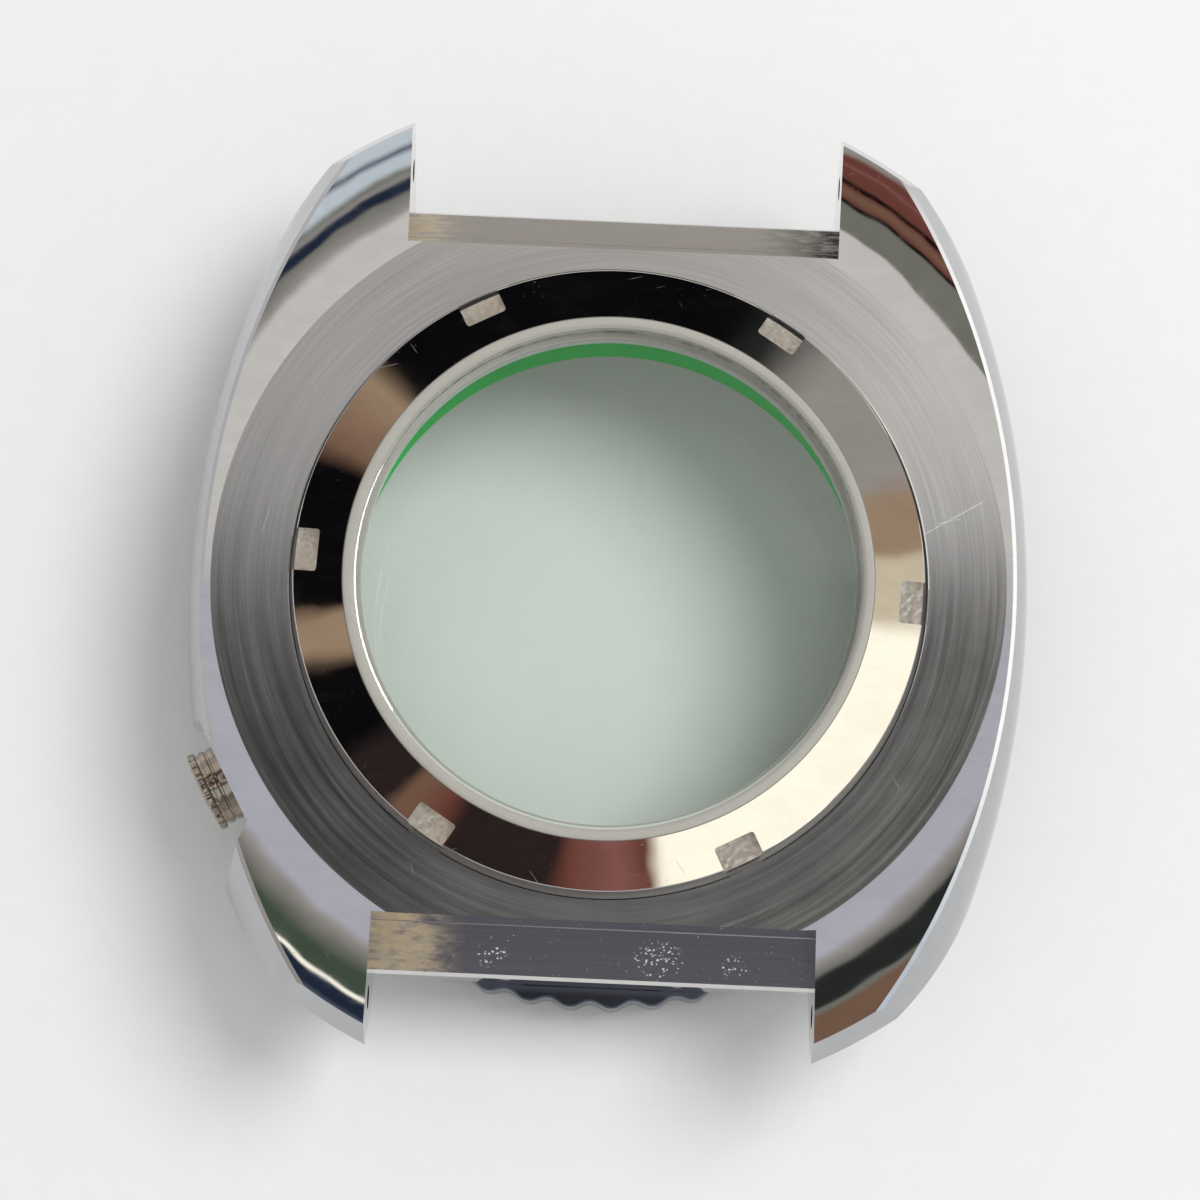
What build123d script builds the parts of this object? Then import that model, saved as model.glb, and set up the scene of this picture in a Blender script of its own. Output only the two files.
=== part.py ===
from build123d import *

import math
import os

os.makedirs("parts", exist_ok=True)

# Millimetres. z = 0 is the plane that the bezel's front rim lies in, +Z points to the wrist side,
# +Y is 12 o'clock and the case axis is x = y = 0. The crown is at four o'clock, on the -X side.
# Radii are built outwards from the back glass: each is the one inside it and a named wall or gap.

# Heights that several pieces share
back_z = 11.4
case_front_z = 4.0
neck_front_z = 1.45
crystal_seat_z = 4.2
back_seat_z = 10.35
seal_step_depth = 0.5
click_groove_depth = 0.55

# Screw-down back: glass, its gasket and the ring
back_glass_r = 12.73
glass_seal_wall = 0.57
glass_seat_r = back_glass_r + glass_seal_wall
glass_seal_lip = 0.31
glass_seal_lip_r = back_glass_r - glass_seal_lip
shelf_width = 0.8
shelf_r = glass_seat_r - shelf_width
shelf_back_z = 10.95
shelf_thick = 1.0
shelf_front_z = shelf_back_z - shelf_thick
glass_seal_floor = 0.2
back_glass_front_z = shelf_back_z + glass_seal_floor
back_glass_thick = 1.3
back_glass_back_z = back_glass_front_z + back_glass_thick
glass_seal_stand = 0.17
glass_seal_top_z = back_glass_back_z + glass_seal_stand
ring_width = 2.5
ring_r = glass_seat_r + ring_width
ring_below_seal = 0.07
ring_inner_z = glass_seal_top_z - ring_below_seal
ring_fall = 0.15
ring_edge_z = ring_inner_z - ring_fall
notch_count = 6
notch_phase_deg = -2.6
notch_width = 2.15
notch_reach = 1.2
notch_depth = 0.95
notch_floor_z = ring_edge_z - notch_depth

# Mid-case: recess, cavity and thread for the back
ring_clearance = 0.25
back_recess_r = ring_r + ring_clearance
seal_land = 0.5
seal_step_r = back_recess_r - seal_land
recess_step = 1.25
cavity_r = back_recess_r - recess_step
thread_clearance = 0.08
skirt_r = cavity_r - thread_clearance
skirt_wall = 1.02
skirt_in_r = skirt_r - skirt_wall
skirt_front_z = 8.85
back_seal_play = 0.1
back_seal_in_r = cavity_r + back_seal_play
back_seal_out_r = seal_step_r - back_seal_play
back_seal_height = 0.46

# Front glass, its gasket and the chapter ring
crystal_seat_width = 1.0
crystal_bore_r = cavity_r + crystal_seat_width
crystal_seal_wall = 0.6
crystal_r = crystal_bore_r - crystal_seal_wall
crystal_front_z = 0.8
crystal_back_z = 4.2
crystal_bevel = 0.3
chapter_play = 0.15
chapter_out_r = cavity_r - chapter_play
chapter_top_width = 0.55
chapter_top_r = chapter_out_r - chapter_top_width
chapter_run = 0.85
chapter_low_r = chapter_top_r - chapter_run
chapter_top_z = 6.05

# Mid-case: neck that the bezel turns on
neck_wall = 1.6
neck_r = crystal_bore_r + neck_wall

# Bezel and its ring of scallops
bezel_fit = 0.05
bezel_bore_r = neck_r + bezel_fit
bezel_wall = 3.5
bezel_r = bezel_bore_r + bezel_wall
bezel_mouth_step = 1.35
bezel_mouth_r = bezel_bore_r - bezel_mouth_step
bezel_shoulder = 0.8
bezel_rim_out_r = bezel_r - bezel_shoulder
bezel_rim_width = 0.8
bezel_rim_in_r = bezel_rim_out_r - bezel_rim_width
bezel_back_z = 3.75
bezel_web_z = 1.35
scallop_count = 60
scallop_width = 1.3
scallop_floor_share = 0.4
scallop_depth = 0.35
detent_inset = 1.0
detent_r = neck_r + detent_inset
detent_width = 0.9
detent_depth = 0.35
detent_length = 1.3

# Bezel insert, its inlaid scale and the luminous dot
insert_seat_z = 0.95
insert_gap = 0.04
insert_face_z = 0.15
inlay_depth = 0.2
bar_length = 1.7
bar_width = 0.4
tick_length = 0.9
tick_width = 0.16
scale_inset = 1.5
scale_r = bezel_rim_in_r - scale_inset
minutes = 60
bar_step = 5
ticked_minutes = 15
pip_r = 0.6
pip_z = 0.08
pip_depth = 0.5

# Bezel seal, retaining wire and click spring, all set out from the neck
wire_bite = 0.18
wire_in_r = neck_r - wire_bite
wire_width = 0.44
wire_out_r = wire_in_r + wire_width
wire_thick = 0.4
wire_z = 2.05
wire_play = 0.06
wire_groove_depth = 0.35
wire_groove_r = neck_r - wire_groove_depth
wire_gap_deg = 8.0
hidden_ring_sides = 48
bezel_seal_play = 0.06
bezel_seal_in_r = neck_r + bezel_seal_play
bezel_seal_width = 0.28
bezel_seal_out_r = bezel_seal_in_r + bezel_seal_width
bezel_seal_height = 0.7
spring_inset = 0.1
spring_in_r = bezel_seal_out_r + spring_inset
spring_width = 1.26
spring_out_r = spring_in_r + spring_width
spring_z = 4.32
spring_thick = 0.2
finger_count = 3
finger_half_width = 0.3
finger_reach = 3.2
finger_root_share = 0.2
finger_tip_z = 3.62
finger_tip_half = 0.12
finger_knee = 0.36
window_clearance = 0.1
click_groove_play = 0.15
click_groove_out_r = spring_out_r + click_groove_play

# Mid-case, turned outline: flat back, rise of the lugs, their ends and their belly
flat_back_width = 3.95
flat_back_r = back_recess_r + flat_back_width
lug_run = 5.3
lug_back_r = flat_back_r + lug_run
lug_rise = 1.3
lug_bend_share = 0.55
lug_end_run = 0.8
lug_point_r = lug_back_r + lug_end_run
lug_point_z = 10.75
lug_belly_run = 2.4
lug_belly_r = lug_point_r - lug_belly_run
lug_belly_z = 6.9
seat_margin = 1.15
bezel_seat_r = bezel_r - seat_margin

# Mid-case, flanks: half width and plan radius of the outline at three heights
waist_overhang = 0.5
waist_half_width = bezel_r + waist_overhang
waist_z = 7.4
waist_plan_r = 48.0
front_tuck = 0.5
crest_tuck = 1.42
crest_plan_r = 39.75
crest_z = 13.4

# Mid-case, ends: the strap gap, the sloped wall in it and the holes for the spring bars
strap_gap = 22.0
end_wall_land = 1.13
end_wall_back_y = back_recess_r + end_wall_land
end_wall_run = 2.55
end_wall_waist_y = end_wall_back_y + end_wall_run
end_wall_waist_z = 7.59
end_wall_step = 0.17
end_wall_front_y = end_wall_waist_y + end_wall_step
end_wall_bevel = 0.35
strap_bar_reach = 1.57
strap_bar_y = end_wall_waist_y + strap_bar_reach
strap_bar_z = 10.0
strap_bar_r = 0.6
strap_bar_depth_twelve = 1.6
strap_bar_depth_six = 1.7

# Crown, along its own axis: distances from the case axis, then radii about the crown's axis
crown_deg = 209.0
crown_z = 7.0
crown_recess_step = 0.05
crown_recess_s = waist_half_width + crown_recess_step
crown_pocket_depth = 0.95
crown_pocket_s = crown_recess_s - crown_pocket_depth
crown_gap = 0.15
crown_inner_s = crown_pocket_s + crown_gap
crown_length = 2.4
crown_outer_s = crown_inner_s + crown_length
crown_rim_length = 0.48
crown_rim_s = crown_outer_s - crown_rim_length
crown_bore_depth = 1.75
crown_bore_s = crown_inner_s + crown_bore_depth
tube_reach = 1.4
tube_outer_s = crown_inner_s + tube_reach
washer_inset = 0.12
washer_s = crown_inner_s + washer_inset
washer_thick = 0.32
crown_seal_inset = 0.6
crown_seal_s = crown_inner_s + crown_seal_inset
crown_seal_height = 0.35
post_root = 0.3
post_seat_s = crown_bore_s + post_root
post_inset = 2.4
post_inner_s = cavity_r + post_inset
post_thread_length = 3.0
tube_bore_r = 0.72
tube_wall = 0.43
tube_r = tube_bore_r + tube_wall
crown_seal_play = 0.02
crown_seal_in_r = tube_r + crown_seal_play
crown_seal_width = 0.41
crown_seal_out_r = crown_seal_in_r + crown_seal_width
crown_bore_r = crown_seal_out_r + crown_seal_play
crown_wall = 0.38
crown_body_r = crown_bore_r + crown_wall
crown_rim_step = 0.12
crown_rim_r = crown_body_r + crown_rim_step
crown_pocket_gap = 0.15
crown_pocket_r = crown_rim_r + crown_pocket_gap
crown_recess_margin = 0.7
crown_recess_half = crown_pocket_r + crown_recess_margin
crown_recess_flare_share = 0.85
washer_clearance = 0.07
washer_bore_r = tube_r + washer_clearance
post_clearance = 0.07
post_r = tube_bore_r - post_clearance
post_thread_r = 0.35
crown_teeth = 22
tooth_gap_width = 0.34
tooth_gap_depth = 0.16
tooth_floor_share = 0.3

# Room past a face for the tools that cut through it
overrun = 8.0
wire_low = wire_z - wire_thick / 2

crown_frame = Plane(
    origin=(0, 0, crown_z),
    x_dir=(0, 0, 1),
    z_dir=(math.cos(math.radians(crown_deg)), math.sin(math.radians(crown_deg)), 0),
)


def turned(*points):
    # Solid turned about Z from a closed outline of (radius, height) points
    return revolve(Plane.XZ * make_face(Polyline(*points, close=True)), Axis.Z)


def domed(*points):
    # The same, with each sloped side slightly arched, as part of a sphere centred on the axis
    sides = []
    for (r1, z1), (r2, z2) in zip(points, points[1:] + points[:1]):
        if r1 == r2 or z1 == z2:
            sides.append(Line((r1, z1), (r2, z2)))
        else:
            centre_z = (r2**2 + z2**2 - r1**2 - z1**2) / (2 * (z2 - z1))
            stretch = math.hypot(r1, z1 - centre_z) / math.hypot((r1 + r2) / 2, (z1 + z2) / 2 - centre_z)
            middle = ((r1 + r2) / 2 * stretch, centre_z + ((z1 + z2) / 2 - centre_z) * stretch)
            sides.append(ThreePointArc((r1, z1), middle, (r2, z2)))
    return revolve(Plane.XZ * make_face(Wire(sides)), Axis.Z)


def tube(outer_r, inner_r, low, high):
    return turned((inner_r, low), (outer_r, low), (outer_r, high), (inner_r, high))


def disc(r, low, high):
    return turned((0, low), (r, low), (r, high), (0, high))


def block(x_low, x_high, half_width, low, high):
    # Box from x_low to x_high, centred on y = 0
    box = Box(
        x_high - x_low,
        half_width + half_width,
        high - low,
        align=(Align.MIN, Align.CENTER, Align.MIN),
    )
    return Pos(x_low, 0, low) * box


def around(tool, count, first_deg=0.0):
    # Copies of a tool at equal angles about Z
    return [Rot(0, 0, first_deg + 360.0 * i / count) * tool for i in range(count)]


def ring_of_sides(outer_r, inner_r, low, high):
    # Small hidden ring or groove with many flat sides in place of round ones
    outer = RegularPolygon(outer_r, hidden_ring_sides)
    inner = RegularPolygon(inner_r, hidden_ring_sides)
    return extrude(Pos(0, 0, low) * (outer - inner), amount=high - low)


def lug_shape():
    # The whole outer form as turned on a lathe, before flanks and strap gaps are cut
    bend_r = flat_back_r + lug_bend_share * lug_run
    bend_z = back_z + lug_bend_share**2 * lug_rise
    return domed(
        (0, back_z),
        (flat_back_r, back_z),
        (bend_r, bend_z),
        (lug_back_r, back_z + lug_rise),
        (lug_point_r, lug_point_z),
        (lug_belly_r, lug_belly_z),
        (bezel_seat_r, case_front_z),
        (0, case_front_z),
    )


def flank():
    # Solid whose +X side is the right flank, through circles at three heights
    levels = (
        (case_front_z - (waist_z - case_front_z) / 2, waist_half_width - front_tuck, waist_plan_r),
        (waist_z, waist_half_width, waist_plan_r),
        (crest_z, waist_half_width - crest_tuck, crest_plan_r),
    )
    circles = [Pos(half - r, 0, z) * Rot(0, 0, 180) * Circle(r) for z, half, r in levels]
    return loft(circles, ruled=True)


def strap_gap_tool():
    slope = end_wall_run / (back_z - end_wall_waist_z)
    top_z = crest_z + overrun
    low_z = case_front_z - overrun
    far_y = lug_point_r + overrun
    outline = Polyline(
        (end_wall_back_y - slope * (top_z - back_z), top_z),
        (end_wall_waist_y, end_wall_waist_z),
        (end_wall_front_y, end_wall_waist_z - end_wall_bevel),
        (end_wall_front_y, low_z),
        (far_y, low_z),
        (far_y, top_z),
        close=True,
    )
    return extrude(Plane.YZ * make_face(outline), amount=strap_gap / 2, both=True)


def crown_recess_tool():
    # Seen along Z with x as the distance from the case axis: a flat floor and two flared sides
    deep = crown_recess_s + overrun
    wide = crown_recess_half + crown_recess_flare_share * overrun
    outline = Polyline(
        (crown_recess_s, -crown_recess_half),
        (deep, -wide),
        (deep, wide),
        (crown_recess_s, crown_recess_half),
        close=True,
    )
    tool = extrude(Pos(0, 0, case_front_z - overrun) * make_face(outline), amount=crest_z + overrun)
    pocket = crown_frame * disc(crown_pocket_r, crown_pocket_s, crown_recess_s + overrun)
    tube_hole = crown_frame * disc(tube_r, cavity_r - tube_r, crown_pocket_s + tube_r)
    return Rot(0, 0, crown_deg) * tool, pocket, tube_hole


def case_bores():
    deep = neck_front_z - overrun
    high = crest_z + overrun
    return [
        turned(
            (0, deep),
            (crystal_bore_r, deep),
            (crystal_bore_r, crystal_seat_z),
            (cavity_r, crystal_seat_z),
            (cavity_r, back_seat_z - seal_step_depth),
            (seal_step_r, back_seat_z - seal_step_depth),
            (seal_step_r, back_seat_z),
            (back_recess_r, back_seat_z),
            (back_recess_r, high),
            (0, high),
        ),
        tube(click_groove_out_r, neck_r, deep, case_front_z + click_groove_depth),
        ring_of_sides(bezel_r, wire_groove_r, wire_low - wire_play, wire_low + wire_thick + wire_play),
    ]


def strap_bar_holes():
    holes = []
    for y, depth in ((strap_bar_y, strap_bar_depth_twelve), (-strap_bar_y, strap_bar_depth_six)):
        hole = Rot(0, 90, 0) * disc(strap_bar_r, strap_gap / 2 - depth, strap_gap / 2 + depth)
        holes += [Pos(0, y, strap_bar_z) * hole, Pos(0, y, strap_bar_z) * Rot(0, 0, 180) * hole]
    return holes


def case_middle():
    right = flank()
    body = lug_shape() & right & mirror(right, about=Plane.YZ)
    gap = strap_gap_tool()
    body = body - gap - mirror(gap, about=Plane.XZ)
    body = body + tube(neck_r, crystal_bore_r, neck_front_z, case_front_z)
    return body - [*crown_recess_tool(), *case_bores(), *strap_bar_holes()]


def crystal():
    return turned(
        (0, crystal_front_z),
        (crystal_r - crystal_bevel, crystal_front_z),
        (crystal_r, crystal_front_z + crystal_bevel),
        (crystal_r, crystal_back_z),
        (0, crystal_back_z),
    )


def crystal_gasket():
    return turned(
        (crystal_r, neck_front_z),
        (crystal_bore_r, neck_front_z),
        (crystal_bore_r, crystal_seat_z),
        (crystal_r, crystal_seat_z),
    )


def chapter_ring():
    return turned(
        (chapter_low_r, crystal_back_z),
        (chapter_out_r, crystal_back_z),
        (chapter_out_r, chapter_top_z),
        (chapter_top_r, chapter_top_z),
    )


def notch_bar(width, floor_share, depth, low, high):
    # Bar that cuts a notch inwards from x = 0, narrowing from its full width to a flat floor
    floor_half = width * floor_share / 2
    outline = Polyline(
        (depth, floor_half - width),
        (depth, width - floor_half),
        (-depth, floor_half),
        (-depth, -floor_half),
        close=True,
    )
    return extrude(Pos(0, 0, low) * make_face(outline), amount=high - low)


def bezel():
    body = domed(
        (bezel_mouth_r, insert_seat_z),
        (bezel_rim_in_r, insert_seat_z),
        (bezel_rim_in_r, 0),
        (bezel_rim_out_r, 0),
        (bezel_r, bezel_shoulder),
        (bezel_r, bezel_back_z),
        (bezel_bore_r, bezel_back_z),
        (bezel_bore_r, bezel_web_z),
        (bezel_mouth_r, bezel_web_z),
    )
    bar = notch_bar(scallop_width, scallop_floor_share, scallop_depth, -overrun, bezel_back_z + overrun)
    notch = Polyline(
        (-detent_width / 2, bezel_back_z),
        (0, bezel_back_z - detent_depth),
        (detent_width / 2, bezel_back_z),
        close=True,
    )
    detent = Pos(detent_r, 0) * extrude(Plane.YZ * make_face(notch), amount=detent_length / 2, both=True)
    wire_room = ring_of_sides(
        wire_out_r + wire_play, neck_r - wire_play, wire_low - wire_play, wire_low + wire_thick + wire_play
    )
    return body - [*around(Pos(bezel_r, 0) * bar, scallop_count), *around(detent, minutes), wire_room]


def scale_marks():
    # Bars at every fifth minute but the top one, and ticks through the first quarter hour
    low, high = insert_face_z, insert_face_z + inlay_depth
    marks = []
    for minute in range(1, minutes):
        if minute % bar_step == 0:
            mark = block(scale_r - bar_length / 2, scale_r + bar_length / 2, bar_width / 2, low, high)
        elif minute < ticked_minutes:
            mark = block(scale_r - tick_length / 2, scale_r + tick_length / 2, tick_width / 2, low, high)
        else:
            continue
        # The front is read from -Z, so minutes run counter-clockwise seen from +Z
        marks.append(Rot(0, 0, 90 + 360.0 * minute / minutes) * mark)
    return marks


def bezel_insert():
    body = tube(bezel_rim_in_r - insert_gap, bezel_mouth_r, insert_face_z, insert_seat_z)
    pip_hole = Pos(0, scale_r) * disc(pip_r + insert_gap, -overrun, pip_z + pip_depth)
    return body - [*scale_marks(), pip_hole]


def bezel_scale():
    return Compound(children=scale_marks())


def bezel_pip():
    return Pos(0, scale_r) * disc(pip_r, pip_z, pip_z + pip_depth)


def bezel_wire():
    ring = ring_of_sides(wire_out_r, wire_in_r, wire_low, wire_low + wire_thick)
    reach = bezel_r * math.tan(math.radians(wire_gap_deg / 2))
    gap = extrude(
        make_face(Polyline((0, 0), (bezel_r, -reach), (bezel_r, reach), close=True)),
        amount=bezel_back_z,
    )
    return ring - gap


def bezel_seal():
    floor_z = case_front_z + click_groove_depth
    return ring_of_sides(bezel_seal_out_r, bezel_seal_in_r, floor_z - bezel_seal_height, floor_z)


def click_spring():
    # Flat ring with three fingers bent down out of their windows into the bezel's notches
    top = spring_z + spring_thick
    ring = tube(spring_out_r, spring_in_r, spring_z, top)
    root = finger_reach * (1 - finger_root_share)
    outline = Polyline(
        (finger_tip_half, finger_tip_z),
        (finger_tip_half, finger_tip_z + spring_thick),
        (-root, top),
        (-finger_reach, top),
        (-finger_reach, spring_z),
        (-root, spring_z),
        (-finger_knee, finger_tip_z + spring_thick),
        (-finger_tip_half, finger_tip_z),
        close=True,
    )
    finger = Pos(detent_r, 0) * extrude(Plane.YZ * make_face(outline), amount=finger_half_width, both=True)
    half = finger_half_width + window_clearance
    half_length = (root + finger_knee) / 2
    window = block(detent_r - half, detent_r + half, half_length, spring_z - overrun, top + overrun)
    window = Pos(0, half_length - root) * window
    return ring - around(window, finger_count) + around(finger, finger_count)


def case_back_ring():
    body = domed(
        (skirt_in_r, skirt_front_z),
        (skirt_r, skirt_front_z),
        (skirt_r, back_seat_z),
        (ring_r, back_seat_z),
        (ring_r, ring_edge_z),
        (glass_seat_r, ring_inner_z),
        (glass_seat_r, shelf_back_z),
        (shelf_r, shelf_back_z),
        (shelf_r, shelf_front_z),
        (skirt_in_r, shelf_front_z),
    )
    deep, high = ring_r - notch_reach, ring_inner_z + overrun
    notch = block(deep, ring_r + notch_width, notch_width / 2, notch_floor_z, high)
    return body - around(notch, notch_count, notch_phase_deg)


def case_back_glass():
    return disc(back_glass_r, back_glass_front_z, back_glass_back_z)


def case_back_glass_gasket():
    return turned(
        (glass_seal_lip_r, shelf_back_z),
        (glass_seat_r, shelf_back_z),
        (glass_seat_r, glass_seal_top_z),
        (back_glass_r, glass_seal_top_z),
        (back_glass_r, back_glass_front_z),
        (glass_seal_lip_r, back_glass_front_z),
    )


def case_back_seal():
    low = back_seat_z - seal_step_depth
    return ring_of_sides(back_seal_out_r, back_seal_in_r, low, low + back_seal_height)


def crown():
    profile = turned(
        (0, crown_outer_s),
        (crown_rim_r, crown_outer_s),
        (crown_rim_r, crown_rim_s),
        (crown_body_r, crown_rim_s),
        (crown_body_r, crown_inner_s),
        (crown_bore_r, crown_inner_s),
        (crown_bore_r, crown_bore_s),
        (post_r, crown_bore_s),
        (post_r, post_seat_s),
        (0, post_seat_s),
    )
    bar = notch_bar(tooth_gap_width, tooth_floor_share, tooth_gap_depth, crown_rim_s, crown_outer_s + overrun)
    return crown_frame * (profile - around(Pos(crown_rim_r, 0) * bar, crown_teeth))


def crown_tube():
    return crown_frame * tube(tube_r, tube_bore_r, cavity_r, tube_outer_s)


def crown_seal():
    high = crown_seal_s + crown_seal_height
    return crown_frame * ring_of_sides(crown_seal_out_r, crown_seal_in_r, crown_seal_s, high)


def crown_washer():
    return crown_frame * tube(crown_bore_r, washer_bore_r, washer_s, washer_s + washer_thick)


def crown_post():
    body = disc(post_r, post_inner_s, post_seat_s)
    thread = disc(post_thread_r, post_inner_s - overrun, post_inner_s + post_thread_length)
    return crown_frame * (body - thread)


nodes = {
    "case_middle": case_middle,
    "crystal": crystal,
    "crystal_gasket": crystal_gasket,
    "chapter_ring": chapter_ring,
    "bezel": bezel,
    "bezel_insert": bezel_insert,
    "bezel_scale": bezel_scale,
    "bezel_pip": bezel_pip,
    "bezel_retaining_wire": bezel_wire,
    "bezel_gasket": bezel_seal,
    "click_spring": click_spring,
    "case_back_ring": case_back_ring,
    "case_back_glass": case_back_glass,
    "case_back_glass_gasket": case_back_glass_gasket,
    "case_back_gasket": case_back_seal,
    "crown": crown,
    "crown_tube": crown_tube,
    "crown_gasket": crown_seal,
    "crown_washer": crown_washer,
    "crown_post": crown_post,
}

for name, make in nodes.items():
    export_step(make(), f"parts/{name}.step")
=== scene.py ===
import bmesh
import bpy
import math
import numpy as np
from mathutils import Matrix, Vector


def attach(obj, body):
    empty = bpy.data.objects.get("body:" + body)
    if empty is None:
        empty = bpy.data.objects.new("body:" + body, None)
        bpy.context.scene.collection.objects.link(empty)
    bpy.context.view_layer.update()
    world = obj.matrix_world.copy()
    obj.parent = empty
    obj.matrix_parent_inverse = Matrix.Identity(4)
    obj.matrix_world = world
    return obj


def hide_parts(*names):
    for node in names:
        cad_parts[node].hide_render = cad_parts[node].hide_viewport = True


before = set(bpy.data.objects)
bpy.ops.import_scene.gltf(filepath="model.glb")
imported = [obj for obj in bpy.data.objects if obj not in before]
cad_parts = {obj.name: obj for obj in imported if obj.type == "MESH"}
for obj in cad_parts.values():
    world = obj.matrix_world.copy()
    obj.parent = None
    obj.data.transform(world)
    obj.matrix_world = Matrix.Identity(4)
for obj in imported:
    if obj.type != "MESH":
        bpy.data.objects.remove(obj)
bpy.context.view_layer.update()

# Lengths are in millimetres, heights from the bezel's front rim and radii from the case axis.
# MM scales them to metres when a mesh is made.
MM = 0.001

# Mid-case: turned profile, flanks and chamfer
BACK_Z, FLAT_R = 11.4, 20.0
LUG_R, LUG_Z = 25.3, 12.7
POINT, BELLY, SEAT = (26.1, 10.75), (23.7, 6.9), (19.8, 4.0)
RISE_START = 0.175
WAIST_Z, WAIST_HALF, WAIST_PLAN_R = 7.4, 21.45, 48.0
CREST_TIGHTENING = 1.375
FLANK_IN, FLANK_EASE, FLANK_UNDER = 0.0892, 0.00746, 0.0192
FLANK_REACH, FLANK_LOW_Z, FLANK_HIGH_Z = 27.0, 3.0, 13.6
CHAMFER = 0.15

# Mid-case: strap gaps, spring bar holes and crown recess
GAP_HALF, GAP_FLOOR_Y, GAP_LIP_Z = 11.0, 19.9, 7.24
GAP_OVER_BACK, WALL_TOP_Y, WALL_FOOT = (14.77, 15.0), 17.18, (19.73, 7.59)
WALL_OUT, WALL_DOWN = 0.556, 0.831
GROOVE_START, GROOVE_HALF, GROOVE_DEPTH = 0.56, 0.05, 0.07
BAR_Y, BAR_Z, BAR_R, BAR_END, BAR_TIP = 21.3, 10.0, 0.6, 12.3, 12.6
CROWN_DEG, CROWN_Z, CROWN_WELL_R, CROWN_WELL_FLOOR, TUBE_R = 209.0, 7.0, 2.25, 20.55, 1.15
RECESS_IN, RECESS_OUT, RECESS_LOW_Z, RECESS_HIGH_Z = (21.5, 2.95), (29.5, 9.75), 2.0, 16.0
TUBE_BORE_IN, TUBE_BORE_OUT = 12, 22
# Places in the open space outside the case, where the cutting tools end
CLEAR, BELOW_Z, ABOVE_Z, GAP_LOW_Z = 30.0, -5, 20, 2.0

# Mid-case: neck, bores and grooves
NECK_R, NECK_FRONT_Z, NECK_END_Z, NECK_CORE_R = 17.4, 1.45, 4.6, 15.5
CRYSTAL_BORE_R, CRYSTAL_SEAT_Z, CAVITY_R = 15.8, 4.2, 14.8
SEAL_STEP_R, SEAL_FLOOR_Z, BACK_SEAT_Z, BACK_RECESS_R, MOUTH_BEVEL = 15.55, 9.85, 10.35, 16.05, 0.07
CLICK_GROOVE_R, CLICK_FLOOR_Z, CLICK_CUT_Z = 19.25, 4.55, 3.0
WIRE_Z, WIRE_HALF, WIRE_FLOOR_R, WIRE_REACH_R = 2.05, 0.26, 17.05, 18.0

# Screw-down back
GLASS_R, GLASS_FRONT_Z, GLASS_BACK_Z = 12.73, 11.15, 12.45
SHELF_R, SHELF_FRONT_Z, SHELF_BACK_Z = 12.5, 9.95, 10.95
GLASS_SEAT_R, RING_R, SKIRT_R, SKIRT_IN_R, SKIRT_Z = 13.3, 15.8, 14.72, 13.7, 8.85
RING_INNER_Z, RING_EDGE_Z = 12.55, 12.4
NOTCHES, NOTCH_PHASE_DEG, NOTCH_HALF, NOTCH_IN_R, NOTCH_Z = 6, -2.6, 1.075, 14.6, 11.45
SEAL_LIP_R, SEAL_TOP_Z = 12.42, 12.62

# Front glass and chapter ring
CRYSTAL_R, CRYSTAL_FRONT_Z, CRYSTAL_BEVEL = 15.2, 0.8, 0.3
CHAPTER_R, CHAPTER_TOP_R, CHAPTER_LOW_R, CHAPTER_TOP_Z = 14.65, 14.1, 13.25, 6.05

# Bezel and its click notches
BEZEL_R, RIM_OUT_R, RIM_IN_R, INSERT_Z = 20.95, 20.15, 19.35, 0.95
BEZEL_BORE_R, MOUTH_R, WEB_Z, BEZEL_BACK_Z, WIRE_GROOVE_R = 17.45, 16.1, 1.35, 3.75, 17.72
SCALLOPS, SCALLOP_DEPTH, SCALLOP_POWER = 60, 0.35, 1.15
CLICKS, CLICK_DEPTH, CLICK_HALF, CLICK_R, CLICK_IN_R, CLICK_OUT_R = 60, 0.35, 0.45, 18.4, 17.76, 19.05

# Crown, along its own axis from the case axis
CROWN_OUT, RIM_LOW, CROWN_IN = 23.06, 22.6, 20.7
CROWN_RIM_R, CROWN_BODY_R, CROWN_GROOVE_R, CROWN_BORE_R, POST_R = 2.1, 1.98, 1.88, 1.6, 0.65
CROWN_HOLLOW_END, POST_END = 22.45, 22.75
CROWN_TEETH, TOOTH_DEPTH, TOOTH_GAP = 22, 0.16, 0.2


# Meshes

def make_object(name, verts, faces, body, node, slot):
    mesh = bpy.data.meshes.new(name)
    mesh.from_pydata([Vector(v) * MM for v in verts], [], faces)
    mesh.validate()
    mesh.update()
    obj = bpy.data.objects.new(name, mesh)
    bpy.context.scene.collection.objects.link(obj)
    if body:
        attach(obj, body)
    if node:
        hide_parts(node)
    return obj


def outline_area(points):
    return sum(a[0] * b[1] - b[0] * a[1] for a, b in zip(points, points[1:] + points[:1]))


def lathe_data(outline, steps=256):
    """Closed outline of (radius, height) points turned about Z: vertices and quads."""
    verts, faces, rings = [], [], []
    for r, z in outline:
        if r < 1e-6:
            rings.append([len(verts)] * steps)
            verts.append((0, 0, z))
        else:
            rings.append(list(range(len(verts), len(verts) + steps)))
            for i in range(steps):
                a = 2 * math.pi * i / steps
                verts.append((r * math.cos(a), r * math.sin(a), z))
    for k in range(len(rings)):
        low, high = rings[k], rings[(k + 1) % len(rings)]
        if low[0] == low[1] and high[0] == high[1]:
            continue
        for i in range(steps):
            j = (i + 1) % steps
            quad = [low[i], low[j], high[j], high[i]]
            face = [v for n, v in enumerate(quad) if v not in quad[:n]]
            if len(face) > 2:
                faces.append(face)
    if outline_area(outline) < 0:
        faces = [f[::-1] for f in faces]
    return verts, faces


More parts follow.
